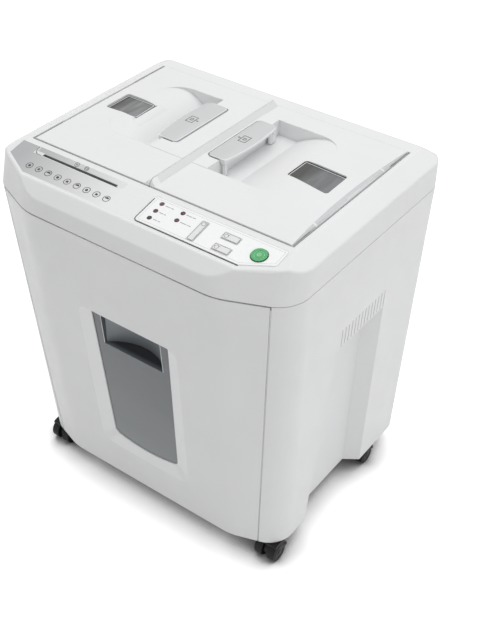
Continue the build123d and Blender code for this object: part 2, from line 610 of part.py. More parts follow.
# Top cover: shell with lid well, hinge bosses, panel cut-outs and disc scoop
WELL_X, WELL_Y = LID_HALF + LID_SIDE_GAP, (-LID_GAP, LID_DEPTH + LID_GAP)
WELL_WALL, WELL_DROP = 3.0, (3.0, 16.0)
LEDGE_DEEP = 8.0
BOSS_X, BOSS_REACH, BOSS_DROP = (189.0, 201.0), 9.0, (3.0, 12.0)
with BuildPart() as top_cover:
    add(rounded_cover())
    add(cover_form(COVER_WALL), mode=Mode.SUBTRACT)
    slab(WELL_X + WELL_WALL, (WELL_Y[0] - WELL_WALL, WELL_Y[1] + WELL_WALL),
         (below_lid(WELL_DROP[1]), below_lid(WELL_DROP[0])))
    slab(WELL_X, WELL_Y, (below_lid(WELL_DROP[1] + CUT), below_lid(-CUT)), Mode.SUBTRACT)
    for ledge in ((WELL_Y[0], LEDGE_DEEP), (LID_DEPTH - LEDGE_DEEP, WELL_Y[1])):
        slab(TRAY_HALF, ledge, (below_lid(TRAY_RIM_DROP[0]), below_lid(LID_THICK + RUN_GAP)))
    for boss_y in ((WELL_Y[0] - BOSS_REACH, WELL_Y[0]), (WELL_Y[1], WELL_Y[1] + BOSS_REACH)):
        for way in (1, -1):
            boss_x = sorted((way * BOSS_X[0], way * BOSS_X[1]))
            block(boss_x, boss_y, (below_lid(BOSS_DROP[1]), below_lid(BOSS_DROP[0])))
    for way in (1, -1):
        rod(way * HINGE_X, below_lid(HINGE_R), (-BOSS_REACH + CUT, LID_DEPTH + BOSS_REACH - CUT),
            HINGE_PIN_R + PRESS_FIT, Mode.SUBTRACT)
    for screw_x in COVER_SCREW_X:
        with Locations(Location((screw_x, BACK_Y, COVER_SCREW_Z), (90, 0, 0))):
            Cylinder(*COVER_SCREW_SINK, mode=Mode.SUBTRACT)
    block((SCOOP_X[0] - WALL, SCOOP_X[1] + WALL), SCOOP_BACKING_Y,
          (below_lid(LINER_DROP[0]), below_lid(2 * COVER_WALL)))
    add(scoop.part, mode=Mode.SUBTRACT)
    block(SLOT_X, SLOT_Y, (below_lid(2 * LINER_DROP[0]), below_lid(0)), Mode.SUBTRACT)
    with BuildSketch(PANEL.offset(-BOARD_DEPTH)):
        with Locations(*BOARD_POSTS):
            Circle(BOARD_POST_R)
    extrude(amount=BOARD_DEPTH - COVER_WALL / 2)
    with BuildSketch(PANEL.offset(-3 * COVER_WALL)):
        with Locations(*LED_PLACES):
            Circle(LED_R + LED_GAP)
        with Locations(POWER_PLACE):
            Circle(POWER_R + RUN_GAP)
        for key_x, key_v, key_w, key_d in KEYS.values():
            with Locations((key_x, key_v)):
                RectangleRounded(key_w + 2 * RUN_GAP, key_d + 2 * RUN_GAP, KEY_CORNER + RUN_GAP / 2)
    extrude(amount=4 * COVER_WALL, mode=Mode.SUBTRACT)
save(top_cover, "top_cover")

# Four screw heads in counterbores along the cover's back
with BuildPart() as cover_screws:
    for screw_x in COVER_SCREW_X:
        with Locations(Location((screw_x, BACK_Y - COVER_SCREW_HEAD, COVER_SCREW_Z), (90, 0, 0))):
            Cylinder(COVER_SCREW_R, COVER_SCREW_HEAD)
save(cover_screws, "cover_screws")

# Dark liner that guides discs and cards down to their cutter
with BuildPart() as disc_slot_liner:
    block((SLOT_X[0] - LINER_WALL, SLOT_X[1] + LINER_WALL), (SLOT_Y[0] - LINER_WALL, SLOT_Y[1] + LINER_WALL),
          (below_lid(LINER_DROP[1]), below_lid(LINER_DROP[0])))
    block(SLOT_X, SLOT_Y, (below_lid(LINER_DROP[1] + CUT), below_lid(0)), Mode.SUBTRACT)
save(disc_slot_liner, "disc_slot_liner")

# Printed overlay on the panel, with openings for lamps and keys
with BuildPart() as control_overlay:
    with BuildSketch(PANEL) as overlay_face:
        with BuildLine():
            Polyline((OVERLAY_X[0], OVERLAY_DEPTH[0]), (OVERLAY_X[1], OVERLAY_DEPTH[0]), *OVERLAY_BEVEL,
                     (OVERLAY_X[0], OVERLAY_DEPTH[1]), close=True)
        make_face()
        fillet(overlay_face.vertices(), radius=OVERLAY_CORNER)
        with Locations(*LED_PLACES):
            Circle(LED_R + LED_GAP, mode=Mode.SUBTRACT)
        with Locations(POWER_PLACE):
            Circle(POWER_R + RUN_GAP, mode=Mode.SUBTRACT)
        for key_x, key_v, key_w, key_d in KEYS.values():
            with Locations((key_x, key_v)):
                RectangleRounded(key_w + 2 * RUN_GAP, key_d + 2 * RUN_GAP, KEY_CORNER + RUN_GAP / 2,
                                 mode=Mode.SUBTRACT)
    extrude(amount=OVERLAY_THICK)
save(control_overlay, "control_overlay")

# Circuit board under the panel
with BuildPart() as control_board:
    with BuildSketch(PANEL.offset(-BOARD_DEPTH)):
        for board_x, board_v, board_w, board_d in BOARD_RECTANGLES:
            with Locations((board_x, board_v)):
                Rectangle(board_w, board_d)
    extrude(amount=-BOARD_THICK)
save(control_board, "control_board")

# Five indicator lamps standing on the board
with BuildPart() as indicator_leds:
    with BuildSketch(PANEL.offset(-BOARD_DEPTH)):
        with Locations(*LED_PLACES):
            Circle(LED_R)
    extrude(amount=BOARD_DEPTH + OVERLAY_THICK + LED_PROUD)
    lenses = indicator_leds.faces().sort_by(Axis.Z)[-len(LED_PLACES):]
    fillet(lenses.edges().filter_by(GeomType.CIRCLE), radius=LED_PROUD)
save(indicator_leds, "indicator_leds")

# Round power button: cap, retaining flange and stem, with a ring sunk into its face
STEM_FOOT = -BOARD_DEPTH + STEM_GAP + BUTTON_TRAVEL
with BuildPart() as power_button:
    for radius, low, high in ((POWER_R, CAP_FOOT, POWER_PROUD), (POWER_R + FLANGE_RIM, *FLANGE),
                              (STEM_TIP_R, STEM_FOOT, CAP_FOOT + CUT)):
        with BuildSketch(PANEL.offset(low)):
            with Locations(POWER_PLACE):
                Circle(radius)
        extrude(amount=high - low)
    with BuildSketch(PANEL.offset(POWER_PROUD)):
        with Locations(POWER_PLACE):
            Circle(POWER_RING[1])
            Circle(POWER_RING[0], mode=Mode.SUBTRACT)
    extrude(amount=-POWER_RING[2], mode=Mode.SUBTRACT)
save(power_button, "power_button")

# Three keys: cap, retaining flange and stem
for key_name, (key_x, key_v, key_w, key_d) in KEYS.items():
    with BuildPart() as key:
        for rim, low, high in ((0.0, CAP_FOOT, KEY_PROUD), (FLANGE_RIM, *FLANGE)):
            with BuildSketch(PANEL.offset(low)):
                with Locations((key_x, key_v)):
                    RectangleRounded(key_w + 2 * rim, key_d + 2 * rim, KEY_CORNER)
            extrude(amount=high - low)
        with BuildSketch(PANEL.offset(STEM_FOOT)):
            with Locations((key_x, key_v)):
                Circle(STEM_TIP_R)
        extrude(amount=CAP_FOOT + CUT - STEM_FOOT)
    save(key, key_name)


def lid_window_face(window, drop, grow):
    """Window outline of a lid at one drop below the lid plane."""
    with BuildSketch(Plane.XY.offset(below_lid(drop))) as face:
        with BuildLine():
            Polyline(*[(x, from_lid(y)) for x, y in window], close=True)
        make_face()
        fillet(face.vertices(), radius=LID_WINDOW_CORNER)
        if grow:
            offset(amount=grow)
    return face.sketch


def ramp_profile(lever, ramp):
    """Points of the recess section: crease at the foot of the ramp, a point on its curve, its upper end."""
    crease = lever[1] + RECESS_FLAT
    middle = crease + (ramp - crease) * RAMP_BULGE[0]
    return crease, (middle, RECESS_DEPTH * RAMP_BULGE[1])


def recess_form(lever, ramp):
    """Finger recess beside a lever: flat floor, curved ramp up to the lid plane, rounded far corners."""
    crease, (middle, middle_drop) = ramp_profile(lever, ramp)
    start, above = lever[1] - RECESS_START, below_lid(-2 * CUT)
    with BuildPart() as recess:
        with BuildSketch(facing_front(RECESS_Y[1])):
            with BuildLine():
                Polyline((ramp, below_lid(0)), (ramp, above), (start, above),
                         (start, below_lid(RECESS_DEPTH)), (crease, below_lid(RECESS_DEPTH)))
                ThreePointArc((crease, below_lid(RECESS_DEPTH)), (middle, below_lid(middle_drop)),
                              (ramp, below_lid(0)))
            make_face()
        extrude(amount=RECESS_Y[1] - RECESS_Y[0])
        with BuildSketch(Plane.XY.offset(below_lid(RECESS_DEPTH + CUT))) as plan:
            with Locations(((start + ramp) / 2, from_lid(sum(RECESS_Y) / 2))):
                Rectangle(ramp - start, RECESS_Y[1] - RECESS_Y[0])
            fillet(plan.vertices().group_by(Axis.X)[-1], radius=RECESS_CORNER)
        extrude(amount=RECESS_DEPTH + 4 * CUT, mode=Mode.INTERSECT)
    return recess.part


def ridge_form(seam, ridge):
    """Ridge along a lid's seam edge, steep on its outer side, with a rounded nose at its front end."""
    span = (LID_GAP + CUT, LID_DEPTH - LID_GAP - CUT)
    nose, crest = from_lid(span[0]), below_lid(-RIDGE_HEIGHT)
    nose_end, over = from_lid(span[0] + RIDGE_NOSE), below_lid(-RIDGE_HEIGHT - CUT)
    with BuildPart() as form:
        with BuildSketch(facing_front(span[1])):
            with BuildLine():
                Polyline((seam, below_lid(CUT)), (seam, crest), (seam + ridge, below_lid(0)),
                         (seam + ridge, below_lid(CUT)), close=True)
            make_face()
        extrude(amount=span[1] - span[0])
        with BuildSketch(across(seam - CUT)):
            with BuildLine():
                bulge = (from_lid(span[0] + RIDGE_NOSE * NOSE_SHARE), below_lid(-RIDGE_HEIGHT * NOSE_RISE))
                ThreePointArc((nose, below_lid(0)), bulge, (nose_end, crest))
                Polyline((nose_end, crest), (nose_end, over), (nose, over), (nose, below_lid(0)))
            make_face()
        extrude(amount=ridge + 2 * CUT, mode=Mode.SUBTRACT)
    return form.part


def lid_form(seam, ridge, lever, ramp, window):
    """One lid as on the right side: plate, hinge barrel, seam ridge, finger recess, window opening."""
    edge_y = (LID_GAP, LID_DEPTH - LID_GAP)
    inner_y = (edge_y[0] + LID_RIB, edge_y[1] - LID_RIB)
    crease, (middle, middle_drop) = ramp_profile(lever, ramp)
    shell_start, shell_end = lever[0] - SHELL_START, ramp + SHELL_END
    shell_floor = below_lid(RECESS_DEPTH + RECESS_SHELL)
    pocket_x = (lever[0] - LEVER_SWING_GAP, lever[1] + CUT)
    with BuildPart() as form:
        block((seam, HINGE_X), edge_y, (below_lid(LID_THICK), LID_TOP_Z))
        block((seam + LID_RIB, HINGE_X - 1.5 * LID_RIB), inner_y,
              (below_lid(LID_THICK + CUT), below_lid(LID_SKIN)), Mode.SUBTRACT)
        rod(HINGE_X, below_lid(HINGE_R), edge_y, HINGE_R)
        block((seam, lever[1]), (RECESS_Y[0], RECESS_Y[1] + LID_RIB),
              (below_lid(CUT), below_lid(-PLATEAU_RISE)))
        add(ridge_form(seam, ridge))
        with BuildSketch(facing_front(RECESS_Y[1] + RECESS_SHELL)):
            with BuildLine():
                Polyline((shell_end, below_lid(LID_SKIN)), (shell_end, below_lid(CUT)),
                         (shell_start, below_lid(CUT)), (shell_start, below_lid(LID_THICK)),
                         (lever[1] - SHELL_SLANT, shell_floor), (crease, shell_floor))
                ThreePointArc((crease, shell_floor), (middle, below_lid(middle_drop + LID_SKIN)),
                              (shell_end, below_lid(LID_SKIN)))
            make_face()
        extrude(amount=RECESS_Y[1] - RECESS_Y[0] + 2 * RECESS_SHELL)
        extrude(lid_window_face(window, LID_THICK, LID_RIB), amount=LID_THICK - CUT)
        add(recess_form(lever, ramp), mode=Mode.SUBTRACT)
        with BuildSketch(Plane.XY.offset(below_lid(LEVER_POCKET_DROP))) as pocket:
            with Locations((sum(pocket_x) / 2, from_lid(sum(LEVER_Y) / 2))):
                Rectangle(pocket_x[1] - pocket_x[0], LEVER_Y[1] - LEVER_Y[0] + 2 * LEVER_END_GAP)
            fillet(pocket.vertices().group_by(Axis.X)[0], radius=LEVER_CORNER)
        extrude(amount=LEVER_POCKET_DROP + 2 * CUT, mode=Mode.SUBTRACT)
        bore_y = (LEVER_Y[0] - TRUNNION_BORE, LEVER_Y[1] + TRUNNION_BORE)
        rod(lever[0] + LEVER_PIVOT_IN, below_lid(LEVER_PIVOT_DROP), bore_y, LEVER_PIVOT_R + RUNNING_FIT,
            Mode.SUBTRACT)
        extrude(lid_window_face(window, LID_THICK + CUT, 0), amount=LID_THICK + 2 * CUT, mode=Mode.SUBTRACT)
        extrude(lid_window_face(window, LID_THICK + CUT, PANE_SEAT), amount=LID_THICK + CUT - PANE_DROP,
                mode=Mode.SUBTRACT)
        rod(HINGE_X, below_lid(HINGE_R), (-CUT, LID_DEPTH + CUT), HINGE_PIN_R + RUNNING_FIT, Mode.SUBTRACT)
    return form.part


def lid_pane(window):
    """Smoked pane seated under a lid's window opening."""
    with BuildPart() as pane:
        extrude(lid_window_face(window, PANE_DROP + LID_PANE_THICK, LID_PANE_LAP), amount=LID_PANE_THICK)
    return pane.part


def lever_form(lever):
    """Bridge-shaped lid lever as on the right lid: bowed plate, thin front leg, column leg, end trunnions."""
    (inner, outer), (low, high) = lever, LEVER_Y
    underside = LEVER_THICK - LEVER_PROUD
    leg_x = (outer + LEVER_LEG_X[0], outer + LEVER_LEG_X[1])
    leg_z = (below_lid(RECESS_DEPTH - LEVER_LEG_GAP), below_lid(underside - CUT))
    with BuildPart() as form:
        with BuildSketch(Plane.XY.offset(below_lid(underside))) as plan:
            with BuildLine():
                Polyline((outer + LEVER_FLARE, from_lid(high)), (inner, from_lid(high)),
                         (inner, from_lid(low)), (outer, from_lid(low)))
                ThreePointArc((outer, from_lid(low)), (outer + LEVER_BOW, from_lid((low + high) / 2)),
                              (outer + LEVER_FLARE, from_lid(high)))
            make_face()
            fillet(plan.vertices().sort_by_distance((outer, from_lid(low)))[0], radius=LEVER_TOE)
            heel = (outer + LEVER_FLARE, from_lid(high))
            fillet(plan.vertices().sort_by_distance(heel)[0], radius=LEVER_HEEL)
            fillet(plan.vertices().group_by(Axis.X)[0], radius=LEVER_CORNER)
        extrude(amount=LEVER_THICK)
        fillet(form.faces().sort_by(Axis.Z)[-1].edges(), radius=LEVER_EDGE)
        block((inner + LEVER_ROOT, outer + 2 * LEVER_BOW),
              (low + LEVER_TOE_LEG[1] + CUT, high + LEVER_HEEL_LEG[0] - LEVER_COLUMN_R - 2 * CUT),
              (below_lid(underside + CUT), below_lid(underside - LEVER_RELIEF)), Mode.SUBTRACT)
        block(leg_x, (low + LEVER_TOE_LEG[0], low + LEVER_TOE_LEG[1]), leg_z)
        block(leg_x, (high + LEVER_HEEL_LEG[0], high + LEVER_HEEL_LEG[1]), leg_z)
        post(leg_x[1] - LEVER_COLUMN_R, from_lid(high + LEVER_COLUMN_Y), leg_z, LEVER_COLUMN_R)
        rod(inner + LEVER_PIVOT_IN, below_lid(LEVER_PIVOT_DROP), (low - TRUNNION, high + TRUNNION),
            LEVER_PIVOT_R)
    return form.part


with BuildPart() as right_lid:
    add(lid_form(**RIGHT_LID))
save(right_lid, "right_lid")
with BuildPart() as left_lid:
    add(mirror(lid_form(**LEFT_LID), about=Plane.YZ))
save(left_lid, "left_lid")
with BuildPart() as right_lid_window:
    add(lid_pane(RIGHT_LID["window"]))
save(right_lid_window, "right_lid_window")
with BuildPart() as left_lid_window:
    add(mirror(lid_pane(LEFT_LID["window"]), about=Plane.YZ))
save(left_lid_window, "left_lid_window")
with BuildPart() as right_lid_lever:
    add(lever_form(RIGHT_LID["lever"]))
save(right_lid_lever, "right_lid_lever")
with BuildPart() as left_lid_lever:
    add(mirror(lever_form(LEFT_LID["lever"]), about=Plane.YZ))
save(left_lid_lever, "left_lid_lever")

# Four stub pins that carry the lids
with BuildPart() as lid_hinge_pins:
    pin_out, pin_in = HINGE_PIN_REACH
    for way in (1, -1):
        for pin_y in ((-pin_out, pin_in), (LID_DEPTH - pin_in, LID_DEPTH + pin_out)):
            rod(way * HINGE_X, below_lid(HINGE_R), pin_y, HINGE_PIN_R)
save(lid_hinge_pins, "lid_hinge_pins")

# Paper tray under the lids: rim, walls, floor with a throat and roller windows
with BuildPart() as paper_tray:
    slab(TRAY_HALF, TRAY_RIM_Y, (below_lid(TRAY_RIM_DROP[1]), below_lid(TRAY_RIM_DROP[0])))
    slab(TRAY_HALF, TRAY_Y, (below_lid(TRAY_FLOOR_DROP + TRAY_WALL), below_lid(TRAY_RIM_DROP[1] - CUT)))
    slab(TRAY_HALF - TRAY_WALL, (TRAY_Y[0] + TRAY_WALL, TRAY_Y[1] - TRAY_WALL),
         (below_lid(TRAY_FLOOR_DROP), below_lid(0)), Mode.SUBTRACT)
    floor_cut = (below_lid(TRAY_FLOOR_DROP + 2 * TRAY_WALL), below_lid(TRAY_FLOOR_DROP - TRAY_WALL))
    slab(THROAT_HALF, THROAT_Y, floor_cut, Mode.SUBTRACT)
    for way in (1, -1):
        for sleeve_y in SLEEVE_Y:
            roller_x = (way * ROLLER_X - ROLLER_R, way * ROLLER_X + ROLLER_R)
            window_y = (sleeve_y - ROLLER_WINDOW_GAP, sleeve_y + SLEEVE_LONG + ROLLER_WINDOW_GAP)
            block(roller_x, window_y, floor_cut, Mode.SUBTRACT)
save(paper_tray, "paper_tray")

# Steel deck that carries the mechanism, open under both cutters and round the drive gear
with BuildPart() as chassis_deck:
    for half, deck_y in (DECK_FRONT, DECK_MAIN):
        slab(half, deck_y, (DECK_Z, DECK_Z + DECK_THICK))
    deck_cut = (DECK_Z - CUT, DECK_Z + DECK_THICK + CUT)
    slab(*DECK_OPENING, deck_cut, Mode.SUBTRACT)
    block(*DISC_OPENING, deck_cut, Mode.SUBTRACT)
    drive_reach = DRIVE_TEETH * GEAR_MODULE / 2 + GEAR_MODULE + DRIVE_GAP
    block((CUTTER_X - drive_reach, CUTTER_X + drive_reach),
          (DRIVE_Y - DRIVE_GAP, DRIVE_Y + GEAR_WIDE + DRIVE_GAP), deck_cut, Mode.SUBTRACT)
save(chassis_deck, "chassis_deck")

# End plates of the cutting block with bores for bushes and feed rollers
for plate_name, plate_y in zip(("cutter_front_plate", "cutter_back_plate"), FRAME_Y):
    with BuildPart() as plate:
        plate_z = (DECK_Z + DECK_THICK, ROLLER_Z + ROLLER_SHAFT_R + FRAME_OVER_ROLLER)
        slab(FRAME_HALF, (plate_y, plate_y + FRAME_PLATE), plate_z)
        bore_y = (plate_y - CUT, plate_y + FRAME_PLATE + CUT)
        for way in (1, -1):
            rod(way * CUTTER_X, CUTTER_Z, bore_y, BUSH_R + PRESS_FIT, Mode.SUBTRACT)
            rod(way * ROLLER_X, ROLLER_Z, bore_y, ROLLER_SHAFT_R + RUNNING_FIT, Mode.SUBTRACT)
    save(plate, plate_name)

# Bronze bushes in the end plates
with BuildPart() as cutter_bushes:
    for plate_y in FRAME_Y:
        for way in (1, -1):
            rod(way * CUTTER_X, CUTTER_Z, (plate_y, plate_y + FRAME_PLATE), BUSH_R)
    for way in (1, -1):
        rod(way * CUTTER_X, CUTTER_Z, (0, LID_DEPTH), CUTTER_JOURNAL_R + RUNNING_FIT, Mode.SUBTRACT)
save(cutter_bushes, "cutter_bushes")

# Tie bars between the end plates
with BuildPart() as cutter_tie_bars:
    for bar_x, bar_z in TIE_BARS:
        rod(bar_x, bar_z, (FRAME_Y[0] + FRAME_PLATE, FRAME_Y[1]), TIE_BAR_R)
save(cutter_tie_bars, "cutter_tie_bars")


def cutter_form(x, first_disc, ends):
    """Cutting cylinder machined from one bar: discs, roots and journals, with axial tooth notches."""
    root_y = (CUTTER_Y[0] + ROOT_IN, CUTTER_Y[1] - ROOT_IN)
    points = [(ends[0], 0), (ends[0], CUTTER_JOURNAL_R), (root_y[0], CUTTER_JOURNAL_R),
              (root_y[0], CUTTER_ROOT_R)]
    disc = first_disc
    while disc + DISC_WIDE < root_y[1]:
        points += [(disc, CUTTER_ROOT_R), (disc, CUTTER_TIP_R), (disc + DISC_WIDE, CUTTER_TIP_R),
                   (disc + DISC_WIDE, CUTTER_ROOT_R)]
        disc += DISC_PITCH
    points += [(root_y[1], CUTTER_ROOT_R), (root_y[1], CUTTER_JOURNAL_R), (ends[1], CUTTER_JOURNAL_R),
               (ends[1], 0)]
    with BuildPart() as form:
        with BuildSketch(along_axis_y(x, CUTTER_Z)):
            with BuildLine():
                Polyline(*[(from_lid(y), radius) for y, radius in points], close=True)
            make_face()
        revolve(axis=Axis((x, 0, CUTTER_Z), (0, 1, 0)))
        with BuildSketch(facing_axis(x, CUTTER_Y[1], CUTTER_Z)):
            with PolarLocations(CUTTER_TIP_R, NOTCH_COUNT):
                Rectangle(2 * NOTCH_DEEP, NOTCH_WIDE)
        extrude(amount=CUTTER_Y[1] - CUTTER_Y[0], mode=Mode.SUBTRACT)
    return form.part


FIRST_DISC = CUTTER_Y[0] + 3.0
with BuildPart() as right_cutter:
    add(cutter_form(CUTTER_X, FIRST_DISC, (FEED_Y["right"] - SHAFT_OUT, DRIVE_Y + GEAR_WIDE + 2 * SHAFT_OUT)))
save(right_cutter, "right_cutter")
with BuildPart() as left_cutter:
    add(cutter_form(-CUTTER_X, FIRST_DISC + DISC_PITCH / 2,
                    (FEED_Y["left"] - SHAFT_OUT, MESH_Y + GEAR_WIDE + 2 * SHAFT_OUT)))
save(left_cutter, "left_cutter")

# Gears keyed to the cutters and the feed rollers, each turned so that its teeth enter the other's gaps
KEYED, ROLLER_KEYED = CUTTER_JOURNAL_R + PRESS_FIT, ROLLER_SHAFT_R + PRESS_FIT
FEED_ANGLE = degrees(atan2(ROLLER_Z - CUTTER_Z, ROLLER_X - CUTTER_X))
HALF_FEED_TOOTH = 180 / FEED_TEETH
save_gear("right_mesh_gear", CUTTER_X, CUTTER_Z, MESH_Y, MESH_TEETH, MESH_MODULE, KEYED, 180)
save_gear("left_mesh_gear", -CUTTER_X, CUTTER_Z, MESH_Y, MESH_TEETH, MESH_MODULE, KEYED, 180 / MESH_TEETH)
save_gear("drive_gear", CUTTER_X, CUTTER_Z, DRIVE_Y, DRIVE_TEETH, GEAR_MODULE, KEYED, 0)
save_gear("right_takeoff_gear", CUTTER_X, CUTTER_Z, FEED_Y["right"], FEED_TEETH, GEAR_MODULE, KEYED,
          FEED_ANGLE)
save_gear("left_takeoff_gear", -CUTTER_X, CUTTER_Z, FEED_Y["left"], FEED_TEETH, GEAR_MODULE, KEYED,
          180 - FEED_ANGLE)
save_gear("right_feed_gear", ROLLER_X, ROLLER_Z, FEED_Y["right"], FEED_TEETH, GEAR_MODULE, ROLLER_KEYED,
          FEED_ANGLE + 180 + HALF_FEED_TOOTH)
save_gear("left_feed_gear", -ROLLER_X, ROLLER_Z, FEED_Y["left"], FEED_TEETH, GEAR_MODULE, ROLLER_KEYED,
          360 - FEED_ANGLE + HALF_FEED_TOOTH)

# Gear motor beside the cutting block, its pinion in mesh with the drive gear
with BuildPart() as gear_motor:
    rod(MOTOR_X, CUTTER_Z, GEARBOX_Y, GEARBOX_R)
    rod(MOTOR_X, CUTTER_Z, MOTOR_Y, MOTOR_R)
    block((MOTOR_X - MOTOR_FOOT_HALF, MOTOR_X + MOTOR_FOOT_HALF), MOTOR_FOOT_Y,
          (DECK_Z + DECK_THICK, CUTTER_Z - GEARBOX_R / 2))
    rod(MOTOR_X, CUTTER_Z, (GEARBOX_Y[1] - PINION_BORE, GEARBOX_Y[1] + CUT), PINION_SHAFT_R + RUNNING_FIT,
        Mode.SUBTRACT)
save(gear_motor, "gear_motor")
with BuildPart() as motor_pinion:
    with BuildSketch(facing_axis(MOTOR_X, DRIVE_Y + GEAR_WIDE, CUTTER_Z)):
        gear_face(PINION_TEETH, GEAR_MODULE, PINION_SHAFT_R - CUT, 180 + 180 / PINION_TEETH)
    extrude(amount=GEAR_WIDE)
    rod(MOTOR_X, CUTTER_Z, (GEARBOX_Y[1] - PINION_SHAFT, DRIVE_Y + GEAR_WIDE), PINION_SHAFT_R)
save(motor_pinion, "motor_pinion")

# Feed rollers: steel shaft with three rubber sleeves each
for side, way in (("right", 1), ("left", -1)):
    with BuildPart() as feed_shaft:
        rod(way * ROLLER_X, ROLLER_Z, (FEED_Y[side] - SHAFT_OUT, ROLLER_BACK), ROLLER_SHAFT_R)
    save(feed_shaft, f"{side}_feed_shaft")
    with BuildPart() as feed_sleeves:
        for sleeve_y in SLEEVE_Y:
            rod(way * ROLLER_X, ROLLER_Z, (sleeve_y, sleeve_y + SLEEVE_LONG), ROLLER_R)
        rod(way * ROLLER_X, ROLLER_Z, (0, LID_DEPTH), ROLLER_SHAFT_R + PRESS_FIT, Mode.SUBTRACT)
    save(feed_sleeves, f"{side}_feed_sleeves")

# Disc cutter under the front slot: two end blocks and two grooved cylinders with their own gears
with BuildPart() as disc_cutter_blocks:
    for block_x in DISC_BLOCK_X:
        block(block_x, DISC_BLOCK_Y, (DECK_Z + DECK_THICK, DISC_CUTTER_Z + DISC_BLOCK_OVER))
    for way in (1, -1):
        shaft_y = from_lid(DISC_CUTTER_Y + way * DISC_CUTTER_HALF)
        axle(DISC_SHAFT_X, shaft_y, DISC_CUTTER_Z, DISC_SHAFT_R + RUNNING_FIT, Mode.SUBTRACT)
save(disc_cutter_blocks, "disc_cutter_blocks")

for cutter_name, way in (("rear_disc_cutter", 1), ("front_disc_cutter", -1)):
    axis_y = from_lid(DISC_CUTTER_Y + way * DISC_CUTTER_HALF)
    first_rib = DISC_FIRST if way > 0 else DISC_FIRST + DISC_STEP / 2
    tooth_turn = 180.0 if way > 0 else 180 / DISC_GEAR_TEETH
    points = [(DISC_SHAFT_X[0], 0), (DISC_SHAFT_X[0], DISC_SHAFT_R), (DISC_CUTTER_X[0], DISC_SHAFT_R),
              (DISC_CUTTER_X[0], DISC_ROOT_R)]
    for rib in range(DISC_COUNT):
        rib_x = first_rib + DISC_STEP * rib
        points += [(rib_x, DISC_ROOT_R), (rib_x, DISC_TIP_R), (rib_x + DISC_RIB, DISC_TIP_R),
                   (rib_x + DISC_RIB, DISC_ROOT_R)]
    points += [(DISC_CUTTER_X[1], DISC_ROOT_R), (DISC_CUTTER_X[1], DISC_SHAFT_R),
               (DISC_SHAFT_X[1], DISC_SHAFT_R), (DISC_SHAFT_X[1], 0)]
    with BuildPart() as disc_cutter:
        with BuildSketch(Plane(origin=(0, axis_y, DISC_CUTTER_Z), x_dir=(1, 0, 0), z_dir=(0, -1, 0))):
            with BuildLine():
                Polyline(*points, close=True)
            make_face()
        revolve(axis=Axis((0, axis_y, DISC_CUTTER_Z), (1, 0, 0)))
        with BuildSketch(facing_right(DISC_GEAR_X, axis_y, DISC_CUTTER_Z)):
            gear_face(DISC_GEAR_TEETH, DISC_GEAR_MODULE, DISC_SHAFT_R - CUT, tooth_turn)
        extrude(amount=GEAR_WIDE)
    save(disc_cutter, cutter_name)

# Twin-wheel casters: hooded fork with stem, and a wheel pair on its axle
for caster_name, (caster_x, caster_y) in CASTER_PLACES.items():
    swivel_y, axle_y = from_lid(caster_y), from_lid(caster_y - TRAIL)
    half_wide = WHEEL_SPLIT + WHEEL_WIDE
    with BuildPart() as caster_fork:
        with BuildSketch(facing_right(caster_x - half_wide, axle_y, WHEEL_R)):
            Circle(HOOD_R[1])
            Circle(HOOD_R[0], mode=Mode.SUBTRACT)
            with Locations((0, -WHEEL_R)):
                Rectangle(3 * WHEEL_R, 2 * WHEEL_R, mode=Mode.SUBTRACT)
            with Locations((-2 * WHEEL_R - HOOD_FRONT, 0)):
                Rectangle(4 * WHEEL_R, 3 * WHEEL_R, mode=Mode.SUBTRACT)
        extrude(amount=2 * half_wide)
        web_half = WHEEL_SPLIT - WEB_GAP
        with BuildSketch(facing_right(caster_x - web_half, axle_y, WHEEL_R)):
            Circle(WEB_R)
            with Locations(WEB_ARM_PLACE):
                Rectangle(*WEB_ARM)
        extrude(amount=2 * web_half)
        post(caster_x, swivel_y, (COLLAR_Z, FOOT_Z + BASE_LIFT - RUN_GAP), COLLAR_R)
        post(caster_x, swivel_y, (COLLAR_Z, FOOT_Z + BASE_THICK - CUT), STEM_R)
        axle((caster_x - 2 * half_wide, caster_x + 2 * half_wide), axle_y, WHEEL_R, AXLE_R + RUNNING_FIT,
             Mode.SUBTRACT)
    save(caster_fork, f"caster_fork_{caster_name}")
    with BuildPart() as caster_wheels:
        for way in (1, -1):
            wheel_x = sorted((caster_x + way * WHEEL_SPLIT, caster_x + way * half_wide))
            axle(wheel_x, axle_y, WHEEL_R, WHEEL_R)
        fillet(caster_wheels.edges().filter_by(GeomType.CIRCLE), radius=WHEEL_EDGE)
        axle((caster_x - WHEEL_SPLIT - CUT, caster_x + WHEEL_SPLIT + CUT), axle_y, WHEEL_R, AXLE_R)
    save(caster_wheels, f"caster_wheels_{caster_name}")
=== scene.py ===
"""Looks of the auto-feed paper shredder: finishes, printed marks, small trim, floor, light and camera.

Sizes are millimetres in the part's own frame and become metres where a mesh is made.
+Z is up, the front is towards -Y, and the origin is on the floor under the middle of the machine.
"""
from math import asin, atan2, cos, pi, radians, sin

import bmesh
import bpy
from mathutils import Matrix, Vector


